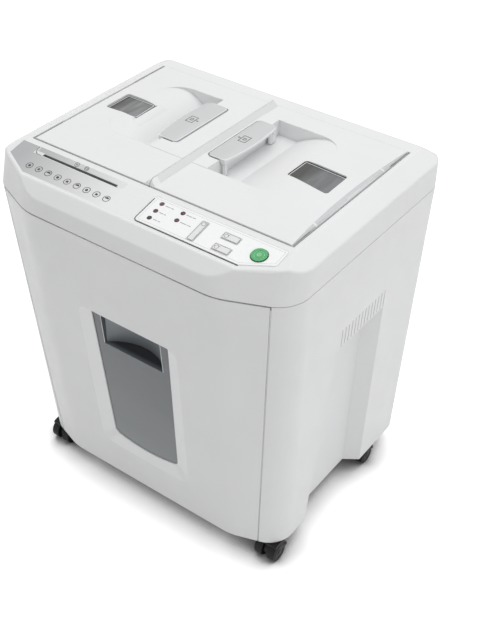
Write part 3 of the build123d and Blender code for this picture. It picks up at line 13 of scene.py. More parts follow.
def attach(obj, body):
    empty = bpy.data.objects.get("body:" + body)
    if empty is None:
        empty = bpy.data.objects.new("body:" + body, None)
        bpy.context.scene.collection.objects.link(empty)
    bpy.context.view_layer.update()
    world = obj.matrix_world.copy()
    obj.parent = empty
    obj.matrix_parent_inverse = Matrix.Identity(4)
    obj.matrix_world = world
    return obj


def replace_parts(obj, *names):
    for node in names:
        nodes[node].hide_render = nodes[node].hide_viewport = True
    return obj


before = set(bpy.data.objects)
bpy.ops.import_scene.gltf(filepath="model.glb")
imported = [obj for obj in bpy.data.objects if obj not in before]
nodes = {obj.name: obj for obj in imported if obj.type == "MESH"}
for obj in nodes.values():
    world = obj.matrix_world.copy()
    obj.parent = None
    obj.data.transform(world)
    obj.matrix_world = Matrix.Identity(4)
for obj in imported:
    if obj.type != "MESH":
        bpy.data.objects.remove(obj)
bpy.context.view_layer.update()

MM = 0.001

# Places on the machine
LID_TOP = 523.4
LID_FRONT = -110.6
LID_DEPTH = 261.5
BACK = 187.9
FACE_FOOT_Z, FACE_FOOT_Y, FACE_LEAN = 34.0, -150.6, atan2(37.3, 438.1)
PANEL_START, PANEL_DROP, PANEL_SLOPE = -9.8, 1.8, atan2(11.3, 50.9)
SCOOP_SLOPE = atan2(5.7, 12.2)

# Control overlay: x and distance down the panel
OVERLAY = ((14.0, -45.3), (165.0, -45.3), (204.0, -26.0), (204.0, -0.6), (14.0, -0.6))
OVERLAY_CORNER, OVERLAY_THICK = 4.0, 0.6
LAMPS = ((27.8, -9.2), (28.4, -22.0), (29.0, -34.7), (59.8, -9.7), (60.4, -22.5))
LAMP_R, LAMP_BEZEL_R, LAMP_TOP = 2.4, 3.1, 1.3
CAPTION_BARS = ((33.4, 46.0, -9.7), (33.8, 43.6, -22.0), (34.2, 44.6, -34.4), (64.9, 78.6, -9.9),
                (65.6, 81.0, -23.0))
CAPTION_HIGH = 1.2
POWER, POWER_R, POWER_PROUD = (177.4, -21.9), 9.8, 2.2
KEYS = {"mode_key": (93.0, -24.8, 8.0, 32.0), "rear_key": (134.0, -15.6, 22.0, 9.0),
        "front_key": (134.4, -35.0, 22.0, 9.0)}
KEY_PROUD, KEY_CORNER = 1.6, 1.2

# Lids, levers and lid windows: x (from the middle for levers) and distance back from the lids' front edge
LEVERS = {"right": (4.0, 31.5), "left": (47.0, 76.5)}
LEVER_Y, LEVER_PROUD, LEVER_BOW, LEVER_FLARE, LEVER_END_GAP = (99.0, 211.0), 1.8, 6.0, 2.0, 0.5
LEVER_CORNER = 5.5
LID_WINDOWS = {
    "right": ((107.8, 123.3), (172.8, 112.1), (172.1, 161.6), (108.1, 165.7)),
    "left": ((-183.3, 117.3), (-132.8, 121.5), (-134.8, 164.6), (-183.3, 164.5)),
}
WINDOW_CORNER, PANE_DROP, PLATEAU = 4.0, 3.0, 0.4
SEAM_X, SEAM_GAP, RIDGE_HEIGHT, RIDGE_WIDE = -8.0, 0.8, 6.5, 7.4
HINGE_X, HINGE_DROP, HINGE_R = 195.0, 5.0, 5.0

# Disc slot and the scoop behind it: x and distance back from the lids, and the drops of their edges
SLOT_X, SLOT_Y, SLOT_DROPS = (-165.0, -43.0), (-22.0, -16.5), (5.2, 15.2)
SCOOP_X, SCOOP_CORNER = (-178.0, -32.0), 7.0

# Drawer front: foot and head of the edge trim as height, x and distance back, pane depth, finger pull
DOOR_EDGES = ((37.0, 182.5, -27.3), (467.0, 207.9, -52.1))
DOOR_FLARE, PANE_DEPTH, SURROUND_HALF = 0.4, 6.5, 86.0
PULL_HALF, PULL_Z, PULL_STRAIGHT, PULL_BACK, PULL_MOUTH = 49.0, (293.4, 346.0), -52.0, -32.0, -55.4

# Casters: swivel places as x and distance back from the lids
CASTERS = {"front_right": (193.5, 0.0), "front_left": (-193.5, 0.0), "rear_right": (193.0, 235.0),
           "rear_left": (-193.0, 235.0)}
WHEEL_R, WHEEL_OUT, TRAIL = 15.0, 16.5, 12.0

# Height and depth of printed marks, and the angle from which an edge is drawn sharp
PRINT_HIGH, PRINT_SUNK, SHARP_ANGLE = 0.05, 0.03, radians(35.0)


# Finishes
class Finish:
    """One node material, built up by short calls around its principled shader."""

    def __init__(self, name):
        self.material = bpy.data.materials.new(name)
        self.material.use_nodes = True
        self.tree = self.material.node_tree
        self.shader = self.tree.nodes["Principled BSDF"]
        self.place = self.node("ShaderNodeTexCoord").outputs["Object"]

    def node(self, kind, **settings):
        made = self.tree.nodes.new(kind)
        for key, value in settings.items():
            setattr(made, key, value)
        return made

    def join(self, source, target):
        self.tree.links.new(source, target)

    def fix(self, **sockets):
        """Set plain values on the shader's own sockets, named with underscores for spaces."""
        named = {socket.name.lower(): socket for socket in self.shader.inputs}
        for key, value in sockets.items():
            named[key.replace("_", " ")].default_value = value

    def run(self, axis, start, end):
        """Value that runs from 0 to 1 between two places along an axis, in millimetres."""
        axes = self.node("ShaderNodeSeparateXYZ")
        self.join(self.place, axes.inputs["Vector"])
        return self.span(axes.outputs[axis], 0.0, 1.0, start * MM, end * MM)

    def noise(self, scale, detail=2.0, stretch=(1.0, 1.0, 1.0)):
        """Cloudy value: finer for a larger scale, drawn out along an axis by a small stretch."""
        mapping = self.node("ShaderNodeMapping")
        mapping.inputs["Scale"].default_value = stretch
        self.join(self.place, mapping.inputs["Vector"])
        texture = self.node("ShaderNodeTexNoise")
        texture.inputs["Scale"].default_value = scale
        texture.inputs["Detail"].default_value = detail
        self.join(mapping.outputs["Vector"], texture.inputs["Vector"])
        return texture.outputs["Fac"]

    def ramp(self, value, *stops):
        """Colour looked up from a value; each stop is a position and a colour."""
        ramp = self.node("ShaderNodeValToRGB")
        elements = ramp.color_ramp.elements
        while len(elements) < len(stops):
            elements.new(0.5)
        for element, (position, colour) in zip(elements, stops):
            element.position = position
            element.color = (*colour, 1.0)
        self.join(value, ramp.inputs["Fac"])
        return ramp.outputs["Color"]

    def span(self, value, low, high, start=0.0, end=1.0):
        """Value carried from one range to another."""
        scale = self.node("ShaderNodeMapRange")
        scale.inputs["From Min"].default_value = start
        scale.inputs["From Max"].default_value = end
        scale.inputs["To Min"].default_value = low
        scale.inputs["To Max"].default_value = high
        self.join(value, scale.inputs["Value"])
        return scale.outputs["Result"]

    def mix(self, factor, first, second):
        """First colour where the factor is 0, second where it is 1; either may be a plain colour."""
        mix = self.node("ShaderNodeMix", data_type="RGBA")
        self.join(factor, mix.inputs["Factor"])
        for socket, colour in (("A", first), ("B", second)):
            inputs = [i for i in mix.inputs if i.name == socket and i.type == "RGBA"]
            if isinstance(colour, tuple):
                inputs[0].default_value = (*colour, 1.0)
            else:
                self.join(colour, inputs[0])
        return [o for o in mix.outputs if o.type == "RGBA"][0]

    def soft_edges(self, radius, start=0.85, end=0.995):
        """Normal that rounds sharp edges, and a mask that is 1 along them."""
        bevel = self.node("ShaderNodeBevel", samples=4)
        bevel.inputs["Radius"].default_value = radius
        flat = self.node("ShaderNodeNewGeometry").outputs["Normal"]
        dot = self.node("ShaderNodeVectorMath", operation="DOT_PRODUCT")
        self.join(bevel.outputs["Normal"], dot.inputs[0])
        self.join(flat, dot.inputs[1])
        return bevel.outputs["Normal"], self.span(dot.outputs["Value"], 1.0, 0.0, start, end)

    def corners(self, distance, start=0.25, end=0.85):
        """Mask that is 1 in tight corners and gaps and 0 in the open."""
        shade = self.node("ShaderNodeAmbientOcclusion", samples=4)
        shade.inputs["Distance"].default_value = distance
        return self.span(shade.outputs["AO"], 1.0, 0.0, start, end)

    def bump(self, height, depth, normal=None):
        """Relief of a given depth in metres."""
        bump = self.node("ShaderNodeBump")
        bump.inputs["Strength"].default_value = 1.0
        bump.inputs["Distance"].default_value = depth
        self.join(height, bump.inputs["Height"])
        if normal:
            self.join(normal, bump.inputs["Normal"])
        self.join(bump.outputs["Normal"], self.shader.inputs["Normal"])

    def colour(self, output):
        self.join(output, self.shader.inputs["Base Color"])

    def roughness(self, output):
        self.join(output, self.shader.inputs["Roughness"])


def shade(colour, factor):
    """Colour made darker or paler by a factor."""
    return tuple(min(1.0, channel * factor) for channel in colour)


def lit_window_surround(finish):
    """Mask that is 1 on the sloped surround of the drawer window, which is painted paler as light."""
    sloped, level = 0.975, 0.99
    edge, soft = SURROUND_HALF * MM, 0.002
    tilt = finish.node("ShaderNodeVectorMath", operation="DOT_PRODUCT")
    finish.join(finish.node("ShaderNodeTexCoord").outputs["Normal"], tilt.inputs[0])
    tilt.inputs[1].default_value = (0.0, -cos(FACE_LEAN), -sin(FACE_LEAN))
    axes = finish.node("ShaderNodeSeparateXYZ")
    finish.join(finish.place, axes.inputs["Vector"])
    off_middle = finish.node("ShaderNodeMath", operation="ABSOLUTE")
    finish.join(axes.outputs["X"], off_middle.inputs[0])
    both = finish.node("ShaderNodeMath", operation="MULTIPLY")
    finish.join(finish.span(tilt.outputs["Value"], 1.0, 0.0, sloped, level), both.inputs[0])
    finish.join(finish.span(off_middle.outputs["Value"], 1.0, 0.0, edge, edge + soft), both.inputs[1])
    return both.outputs["Value"]


def moulded(name, colour, roughness, grain=1500.0, depth=0.00003, dust_and_shade=0.82, worn=1.06, pale=None,
            **fixed):
    """Moulded plastic: cloudy tint, dust and painted shade in corners, paler handled edges, eroded grain,
    uneven gloss.

    A function given as pale makes a mask of areas painted paler than the rest, as painted light.
    """
    cloudy, lit_paler, glossier, duller = 0.975, 1.08, 0.06, 0.08
    finish = Finish(name)
    normal, edges = finish.soft_edges(radius=0.0006)
    cloud = finish.noise(scale=7.0, detail=4.0)
    tint = finish.ramp(cloud, (0.35, shade(colour, cloudy)), (0.65, colour))
    # Tone in corners and gaps, placed by occlusion: dust, and painted shade where the factor darkens.
    dusted_and_shaded = finish.mix(finish.corners(distance=0.006), tint, shade(colour, dust_and_shade))
    handled = finish.mix(edges, dusted_and_shaded, shade(colour, worn))
    finish.colour(finish.mix(pale(finish), handled, shade(colour, lit_paler)) if pale else handled)
    gloss = finish.noise(scale=45.0, detail=5.0)
    finish.roughness(finish.span(gloss, roughness - glossier, roughness + duller, 0.3, 0.7))
    finish.bump(finish.noise(grain), depth, normal)
    finish.fix(**fixed)
    return finish.material


def smoked(name, run, stops, streak, share):
    """Smoked plastic: tone that runs along an axis, soft streaks, fine scratches, slightly wavy faces."""
    finish = Finish(name)
    total = finish.node("ShaderNodeMath", operation="ADD")
    finish.join(finish.run(*run), total.inputs[0])
    streaks = finish.noise(scale=1.0, detail=3.0, stretch=streak)
    finish.join(finish.span(streaks, -share, share, 0.3, 0.7), total.inputs[1])
    finish.colour(finish.ramp(total.outputs["Value"], *stops))
    scratches = finish.noise(scale=260.0, detail=4.0, stretch=(1.0, 0.06, 1.0))
    finish.roughness(finish.span(scratches, 0.12, 0.22, 0.45, 0.75))
    finish.bump(finish.noise(scale=22.0, detail=1.0), depth=0.0002)
    finish.fix(transmission_weight=0.1)
    return finish.material


def faded(name, run, *stops):
    """Plastic with painted shade that fades along an axis, with the grain of the moulded parts."""
    finish = Finish(name)
    finish.colour(finish.ramp(finish.run(*run), *stops))
    finish.roughness(finish.span(finish.noise(scale=45.0, detail=5.0), 0.36, 0.5, 0.3, 0.7))
    finish.bump(finish.noise(scale=1500.0), depth=0.00003)
    return finish.material


def metal(name, colour, roughness, stretch):
    """Bare or plated metal: drawn-out tool marks, faint stains, bright edges."""
    stained, worn, glossier, duller = 0.82, 1.15, 0.08, 0.12
    finish = Finish(name)
    normal, edges = finish.soft_edges(radius=0.0004)
    marks = finish.noise(420.0, 4.0, stretch)
    cloud = finish.noise(scale=24.0, detail=5.0)
    stains = finish.ramp(cloud, (0.40, shade(colour, stained)), (0.62, colour))
    finish.colour(finish.mix(edges, stains, shade(colour, worn)))
    finish.roughness(finish.span(marks, roughness - glossier, roughness + duller, 0.3, 0.7))
    finish.bump(marks, 0.00004, normal)
    finish.fix(metallic=1.0)
    return finish.material


def ink(name, colour):
    """Printed ink: slightly uneven density over a fine grain."""
    finish = Finish(name)
    thin = shade(colour, 1.35)
    finish.colour(finish.ramp(finish.noise(scale=700.0, detail=3.0), (0.35, colour), (0.75, thin)))
    finish.roughness(finish.span(finish.noise(scale=300.0), 0.45, 0.6))
    finish.bump(finish.noise(scale=1800.0), depth=0.00001)
    return finish.material


def lamp_lens(name, centre, rim):
    """Tinted lamp lens: facets under a clear coat."""
    finish = Finish(name)
    finish.colour(finish.ramp(finish.noise(scale=520.0), (0.35, rim), (0.62, centre)))
    finish.roughness(finish.span(finish.noise(scale=200.0), 0.12, 0.22))
    finish.bump(finish.noise(scale=900.0), depth=0.00004)
    finish.fix(coat_weight=0.6)
    return finish.material


def circuit_board(name, resist, copper):
    """Board lacquer over tracks, with the tracks paler and slightly raised."""
    finish = Finish(name)
    tracks = finish.noise(scale=140.0, detail=0.0, stretch=(1.0, 0.25, 1.0))
    finish.colour(finish.ramp(tracks, (0.52, resist), (0.55, copper)))
    finish.roughness(finish.span(finish.noise(scale=90.0), 0.3, 0.45))
    finish.bump(tracks, depth=0.00008)
    return finish.material


WHITE = (0.84, 0.845, 0.85)
white = moulded("white_plastic", WHITE, 0.42)
# Drawer front with painted light: the window's sloped surround is paler.
drawer_white_lit_surround = moulded("drawer_white_lit_surround", WHITE, 0.42, pale=lit_window_surround)
lever_grey = moulded("lever_grey", (0.62, 0.63, 0.635), 0.34, grain=2600.0, dust_and_shade=0.9, metallic=0.15)
# Smoked tint with painted shade: the drawer window darkens towards the top.
window_smoke = smoked("drawer_smoke", ("Z", 345.0, 110.0),
                      ((0.0, (0.13, 0.145, 0.155)), (0.5, (0.155, 0.172, 0.182)), (1.0, (0.22, 0.24, 0.25))),
                      streak=(4.0, 4.0, 9.0), share=0.12)
# Smoked tint with painted shade: the lid panes darken towards the left.
PANE_SHADE_STOPS = ((0.1, (0.05, 0.05, 0.048)), (0.5, (0.14, 0.145, 0.148)), (0.9, (0.27, 0.275, 0.28)))
right_pane = smoked("right_pane_smoke", ("X", 100.0, 190.0), PANE_SHADE_STOPS, streak=(62.0, 9.0, 1.0), share=0.22)
left_pane = smoked("left_pane_smoke", ("X", -205.0, -105.0), PANE_SHADE_STOPS, streak=(70.0, 9.0, 1.0), share=0.4)
# Painted shade: grey that fades out from the panel's left end towards the middle.
panel_painted_shade = faded("panel_painted_shade", ("X", -200.0, 0.0), (0.05, (0.455, 0.46, 0.468)),
                   (0.5, (0.665, 0.668, 0.672)), (0.85, (0.835, 0.84, 0.845)))
# Painted shade in the finger pull: the floor darkest behind the mouth, the wall darker towards the bottom.
pull_shade = faded("pull_shade", ("Y", LID_FRONT + PULL_MOUTH, LID_FRONT + PULL_BACK),
                   (0.05, (0.15, 0.165, 0.175)), (0.35, (0.034, 0.037, 0.042)), (1.0, (0.048, 0.052, 0.058)))
pull_wall_shade = faded("pull_wall_shade", ("Z", *PULL_Z), (0.0, (0.17, 0.185, 0.195)), (0.7, (0.29, 0.31, 0.32)))
# Painted shade: darker white for the ridge's right face.
ridge_painted_shade = moulded("ridge_painted_shade", (0.74, 0.745, 0.75), 0.42)
# Painted shade: grey for the hollow along the right lid's hinge barrel.
edge_painted_shade = moulded("edge_painted_shade", (0.62, 0.63, 0.64), 0.42)
bin_grey = moulded("bin_grey", (0.30, 0.315, 0.325), 0.5)
dark = moulded("dark_plastic", (0.035, 0.037, 0.04), 0.5, dust_and_shade=0.7, worn=1.6)
caster_black = moulded("caster_black", (0.005, 0.005, 0.006), 0.36, dust_and_shade=1.3, worn=1.8,
                       specular_ior_level=0.25)
tread = moulded("caster_tread", (0.004, 0.004, 0.005), 0.5, grain=900.0, depth=0.00006, dust_and_shade=1.5, worn=1.6,
                specular_ior_level=0.25)
film = moulded("overlay_film", (0.95, 0.955, 0.96), 0.30, grain=2200.0, depth=0.00001, dust_and_shade=0.9)
key_pad = moulded("key_pad", (0.81, 0.815, 0.82), 0.36, dust_and_shade=0.85)
green = moulded("button_green", (0.055, 0.42, 0.13), 0.22, dust_and_shade=0.45, worn=1.35, coat_weight=0.4)
green_mark = ink("button_mark", (0.42, 0.66, 0.50))
lamp_red = lamp_lens("lamp_red", (0.16, 0.02, 0.03), (0.045, 0.008, 0.012))
board = circuit_board("board_green", (0.012, 0.10, 0.035), (0.06, 0.22, 0.08))
zinc = metal("deck_steel", (0.55, 0.56, 0.57), 0.38, (1.0, 0.08, 1.0))
steel = metal("cutter_steel", (0.42, 0.42, 0.43), 0.30, (0.3, 1.0, 1.0))
bronze = metal("bush_bronze", (0.50, 0.32, 0.14), 0.42, (1.0, 1.0, 1.0))
nylon = moulded("gear_nylon", (0.72, 0.70, 0.62), 0.45)
rubber = moulded("roller_rubber", (0.022, 0.022, 0.022), 0.7, grain=700.0, depth=0.0001, dust_and_shade=0.7, worn=1.5)
ink_black = ink("ink_black", (0.045, 0.046, 0.05))
ink_grey = ink("ink_grey", (0.36, 0.365, 0.38))
ink_pale = ink("ink_pale", (0.66, 0.67, 0.68))

NODE_FINISH = {
    white: ("cabinet_shell", "top_cover", "right_lid", "left_lid", "right_lid_lever", "left_lid_lever"),
    drawer_white_lit_surround: ("drawer_front",),
    window_smoke: ("drawer_window",),
    right_pane: ("right_lid_window",),
    left_pane: ("left_lid_window",),
    bin_grey: ("waste_bin",),
    dark: ("base_plate", "bin_rails", "disc_slot_liner", "paper_tray", "power_inlet"),
    caster_black: [f"caster_fork_{place}" for place in CASTERS],
    tread: [f"caster_wheels_{place}" for place in CASTERS],
    film: ("control_overlay",),
    key_pad: tuple(KEYS),
    green: ("power_button",),
    lamp_red: ("indicator_leds",),
    board: ("control_board",),
    zinc: ("chassis_deck", "cutter_front_plate", "cutter_back_plate", "gear_motor", "disc_cutter_blocks"),
    steel: ("right_cutter", "left_cutter", "rear_disc_cutter", "front_disc_cutter", "cutter_tie_bars",
            "lid_hinge_pins", "right_feed_shaft", "left_feed_shaft", "cover_screws", "bin_screws",
            "motor_pinion", "drive_gear", "right_mesh_gear", "left_mesh_gear"),
    nylon: ("right_takeoff_gear", "left_takeoff_gear", "right_feed_gear", "left_feed_gear"),
    bronze: ("cutter_bushes",),
    rubber: ("right_feed_sleeves", "left_feed_sleeves"),
}
for material, names in NODE_FINISH.items():
    for name in names:
        nodes[name].data.materials.clear()
        nodes[name].data.materials.append(material)


# Flat faces that carry trim, and outlines drawn on them
def flat(origin, across, up):
    """Frame of a flat face: local x across it, y up it, z out of it."""
    across, up = Vector(across).normalized(), Vector(up).normalized()
    face = Matrix((across, up, across.cross(up))).transposed().to_4x4()
    face.translation = Vector(origin) * MM
    return face


PANEL = flat((0, LID_FRONT + PANEL_START, LID_TOP - PANEL_DROP), (1, 0, 0),
             (0, cos(PANEL_SLOPE), sin(PANEL_SLOPE)))
SCOOP = flat((0, LID_FRONT + PANEL_START, LID_TOP - PANEL_DROP), (1, 0, 0),
             (0, cos(SCOOP_SLOPE), sin(SCOOP_SLOPE)))
LIDS = flat((0, LID_FRONT, LID_TOP), (1, 0, 0), (0, 1, 0))
REAR = flat((0, BACK, 0), (-1, 0, 0), (0, 0, 1))
FRONT = flat((0, FACE_FOOT_Y, FACE_FOOT_Z), (1, 0, 0), (0, -sin(FACE_LEAN), cos(FACE_LEAN)))
RIDGE = flat((SEAM_X + SEAM_GAP / 2 + RIDGE_WIDE, LID_FRONT, LID_TOP), (0, 1, 0),
             (-RIDGE_WIDE, 0, RIDGE_HEIGHT))


def up_face(z):
    """Distance up the drawer's leaning face to a height above the floor."""
    return (z - FACE_FOOT_Z) / cos(FACE_LEAN)


def on(face, points, height):
    """Points of an outline at a height above a face, in metres."""
    return [face @ (Vector((x, y, height)) * MM) for x, y in points]


def circle(centre, radius, count=36):
    return [(centre[0] + radius * cos(2 * pi * i / count), centre[1] + radius * sin(2 * pi * i / count))
            for i in range(count)]


def between(across, along):
    """Rectangle that fills a range of x and a range of y."""
    (left, right), (low, high) = across, along
    return [(left, low), (right, low), (right, high), (left, high)]


def rectangle(centre, wide, high):
    (x, y), w, h = centre, wide / 2, high / 2
    return between((x - w, x + w), (y - h, y + h))


def rounded(points, radius, steps=6):
    """Outline with its corners rounded, each by a short curve between two tangent points."""
    result = []
    for i, corner in enumerate(points):
        here = Vector(corner)
        arms = [Vector(points[i - 1]) - here, Vector(points[(i + 1) % len(points)]) - here]
        start, end = [here + arm.normalized() * min(radius, arm.length / 2) for arm in arms]
        for step in range(steps + 1):
            t = step / steps
            result.append(tuple(start * (1 - t) ** 2 + here * 2 * t * (1 - t) + end * t ** 2))
    return result


def normal_at(points, i, closed):
    """Sideways vector at one point of a line, long enough to keep the line's width round a corner."""
    last, shortest = len(points) - 1, 1e-9
    sides = []
    for a, b in ((i - 1, i), (i, i + 1)):
        if closed or (a >= 0 and b <= last):
            along = Vector(points[b % (last + 1)]) - Vector(points[a])
            if along.length > shortest:
                sides.append(Vector((along.y, -along.x)).normalized())
    total = sum(sides, Vector((0, 0)))
    return total / (1 + sides[0].dot(sides[-1])) if len(sides) > 1 else sides[0]


def grown(points, amount):
    """Closed counter-clockwise outline moved outwards by an amount."""
    return [tuple(Vector(p) + normal_at(points, i, True) * amount) for i, p in enumerate(points)]


def stroke(points, width):
    """Closed outline round an open line of a given width."""
    sides = [normal_at(points, i, False) * width / 2 for i in range(len(points))]
    right = [tuple(Vector(p) + s) for p, s in zip(points, sides)]
    left = [tuple(Vector(p) - s) for p, s in zip(points, sides)]
    return right + left[::-1]


# Meshes
def skin(mesh, loops, ring=False):
    """Skin between outlines that follow each other; the ends are capped, or joined as a ring."""
    rows = [[mesh.verts.new(point) for point in loop] for loop in loops]
    pairs = list(zip(rows, rows[1:]))
    if ring:
        pairs.append((rows[-1], rows[0]))
    for low, high in pairs:
        for i in range(len(low)):
            after = (i + 1) % len(low)
            mesh.faces.new((low[i], low[after], high[after], high[i]))
    if not ring:
        mesh.faces.new(rows[0][::-1])
        mesh.faces.new(rows[-1])


def plate(mesh, face, outline, low, high, edge=0.0):
    """Plate between two heights above a face, its upper edge rounded off."""
    loops = [on(face, outline, low), on(face, outline, high - edge)]
    if edge:
        shoulder = 0.3 * edge
        loops.append(on(face, grown(outline, -shoulder), high - shoulder))
        loops.append(on(face, grown(outline, -edge), high))
    skin(mesh, loops)


def band(mesh, face, outline, inner, outer, low, high):
    """Closed band along an outline, from an inner to an outer offset, between two heights."""
    loops = [on(face, grown(outline, offset), height)
             for offset, height in ((inner, low), (outer, low), (outer, high), (inner, high))]
    skin(mesh, loops, ring=True)


def printed(mesh, face, outline, level=0.0):
    """Printed patch."""
    plate(mesh, face, outline, level - PRINT_SUNK, level + PRINT_HIGH)


def printed_line(mesh, face, outline, width, level=0.0):
    """Printed line along a closed outline."""
    band(mesh, face, outline, -width / 2, width / 2, level - PRINT_SUNK, level + PRINT_HIGH)


def lathe(mesh, face, centre, profile, count=40):
    """Turned form about an axis out of a face; the profile is a list of radius and height."""
    skin(mesh, [on(face, circle(centre, radius, count), height) for radius, height in profile])


def piece(name, body, material, draw):
    """One mesh object that rides a body, with its own finish."""
    mesh = bmesh.new()
    draw(mesh)
    bmesh.ops.recalc_face_normals(mesh, faces=mesh.faces)
    data = bpy.data.meshes.new(name)
    mesh.to_mesh(data)
    mesh.free()
    data.shade_smooth()
    data.set_sharp_from_angle(angle=SHARP_ANGLE)
    data.materials.append(material)
    made = bpy.data.objects.new(name, data)
    bpy.context.scene.collection.objects.link(made)
    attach(made, body)
    return made


# Control overlay
overlay_outline = rounded(OVERLAY, OVERLAY_CORNER)


def draw_overlay_shadow_line(mesh):
    """Dark gap that shows along the overlay's left and lower edges."""
    wide, tuck, turn = 1.1, 0.1, 5.0
    left, foot, right = OVERLAY[0][0] - wide / 2 - tuck, OVERLAY[0][1] - wide / 2 - tuck, OVERLAY[1][0]
    angles = [radians(20 * i) for i in range(1, 5)]
    corner = [(left + turn * (1 - cos(a)), foot + turn * (1 - sin(a))) for a in angles]
    path = [(left, OVERLAY[4][1] - turn), (left, foot + turn), *corner, (left + turn, foot), (right, foot)]
    plate(mesh, PANEL, stroke(path, wide), -PRINT_SUNK, OVERLAY_THICK)


def draw_overlay_fine_lines(mesh):
    """Two fine border lines: one close to the overlay's edge and one further in."""
    fine, insets = 0.25, (0.5, 3.4)
    for inset in insets:
        printed_line(mesh, PANEL, grown(overlay_outline, -inset), fine, OVERLAY_THICK)


def draw_captions(mesh):
    """Plain bars beside the lamps, each broken once."""
    gap, first_share = 1.1, 0.6
    for start, end, v in CAPTION_BARS:
        split = start + (end - start) * first_share
        for a, b in ((start, split), (split + gap, end)):
            printed(mesh, PANEL, rectangle(((a + b) / 2, v), b - a, CAPTION_HIGH), OVERLAY_THICK)


def draw_key_frames(mesh):
    """Fine frames round the keys."""
    clear, line = 1.1, 0.5
    for x, v, wide, high in KEYS.values():
        outline = rounded(rectangle((x, v), wide + 2 * clear, high + 2 * clear), KEY_CORNER)
        printed_line(mesh, PANEL, outline, line, OVERLAY_THICK)


def draw_lamp_bezels(mesh):
    """Dark collars round the lamps."""
    clear, wide, top = 0.25, LAMP_BEZEL_R - LAMP_R, OVERLAY_THICK + 0.25
    for place in LAMPS:
        band(mesh, PANEL, circle(place, LAMP_R, count=28), clear, wide, 0.0, top)


def draw_dark_lamp(mesh):
    """Unlit cap over the lowest lamp of the left column."""
    rim, shoulder, crown = LAMP_R + 0.1, LAMP_R - 0.4, 0.6
    profile = ((rim, OVERLAY_THICK - 0.2), (rim, LAMP_TOP - 0.4), (shoulder, LAMP_TOP + 0.05),
               (crown, LAMP_TOP + 0.15))
    lathe(mesh, PANEL, LAMPS[2], profile, count=28)


def draw_button_collar(mesh):
    """Dark shadow ring round the power button."""
    inner, outer = 0.5, 1.0
    band(mesh, PANEL, circle(POWER, POWER_R, count=48), inner, outer, 0.0, OVERLAY_THICK + PRINT_HIGH)


def draw_button_mark(mesh):
    """Two pale rings and a stroke on the power button."""
    rim_r, rim_line, rim_drop = 5.9, 0.7, 0.5
    ring_r, line, bar = 2.2, 0.6, 2.4
    printed_line(mesh, PANEL, circle(POWER, rim_r, count=48), rim_line, POWER_PROUD - rim_drop)
    printed_line(mesh, PANEL, circle(POWER, ring_r, count=32), line, POWER_PROUD)
    printed(mesh, PANEL, rectangle(POWER, line, bar), POWER_PROUD)


piece("overlay_shadow_line", "cabinet", ink_black, draw_overlay_shadow_line)
piece("overlay_fine_lines", "cabinet", ink_grey, draw_overlay_fine_lines)
piece("overlay_captions", "cabinet", ink_grey, draw_captions)
piece("key_frames", "cabinet", ink_grey, draw_key_frames)
piece("lamp_bezels", "cabinet", ink_black, draw_lamp_bezels)
piece("dark_lamp", "cabinet", dark, draw_dark_lamp)
piece("button_collar", "cabinet", ink_black, draw_button_collar)
piece("button_mark", "power_button", green_mark, draw_button_mark)


def draw_key_mark(x, v, wide, high):
    """Ring with a short tail near one end of a key, and a fine line round the key's top."""
    ring_r, ring_line, end_gap = 2.6, 0.45, 1.6
    tail_long, tail_line, tail_rise = 1.8, 0.5, ring_r * 0.8
    rim_inset, rim_line = 0.4, 0.3
    place = (x - wide / 2 + ring_r + end_gap, v) if wide > high else (x, v + high / 2 - ring_r - end_gap)

    def draw(mesh):
        printed_line(mesh, PANEL, circle(place, ring_r, count=28), ring_line, KEY_PROUD)
        tail = rectangle((place[0] + ring_r, place[1] + tail_rise), tail_long, tail_line)
        printed(mesh, PANEL, tail, KEY_PROUD)
        rim = rounded(rectangle((x, v), wide - 2 * rim_inset, high - 2 * rim_inset), KEY_CORNER)
        printed_line(mesh, PANEL, rim, rim_line, KEY_PROUD)

    return draw


for key, size in KEYS.items():
    piece(f"{key}_mark", key, ink_black, draw_key_mark(*size))


# Painted shade: grey on the panel's left half, round the scoop, with a painted highlight along the panel's
# front edge
PANEL_SHADE_OUTLINE = ((-207.0, -0.8), (-207.0, -26.5), (-166.5, -46.8), (12.5, -46.8), (12.5, -0.8), (-31.0, -0.8),
        (-31.0, -13.2), (-179.0, -13.2), (-179.0, -0.8))
PANEL_EDGE = ((-208.0, -2.0), (-208.0, -28.3), (-163.0, -50.0), (163.0, -50.0))


def draw_panel_painted_shade(mesh):
    printed(mesh, PANEL, PANEL_SHADE_OUTLINE)


def draw_scoop_painted_shade(mesh):
    """The same painted shade on the scoop, between the bezel and the slot."""
    inset, start, end = 1.5, -0.3, -6.9
    printed(mesh, SCOOP, between((SCOOP_X[0] + inset, SCOOP_X[1] - inset), (end, start)))


def draw_panel_edge_highlight(mesh):
    """Painted highlight: pale line along the panel's front edge."""
    wide = 1.3
    plate(mesh, PANEL, stroke(PANEL_EDGE, wide), -PRINT_SUNK, PRINT_HIGH)


def draw_slot_shade(mesh):
    """Painted shade on the slot's walls, from just under its lips down to the guide."""
    inner, outer = -0.35, -0.03
    band(mesh, LIDS, between(SLOT_X, SLOT_Y), inner, outer, -SLOT_DROPS[1], -SLOT_DROPS[0])


def draw_scoop_shade_line(mesh):
    """Painted shade: dark line round the scoop's left end."""
    wide, start, foot, r = 0.8, -0.8, -13.0, SCOOP_CORNER
    left, end = SCOOP_X[0] - wide / 2, SLOT_X[0] - 1.0
    turn = [(left + r - r * cos(a), foot + r - r * sin(a)) for a in (radians(15 * i) for i in range(7))]
    plate(mesh, PANEL, stroke([(left, start), *turn, (end, foot)], wide), -PRINT_SUNK, PRINT_HIGH)


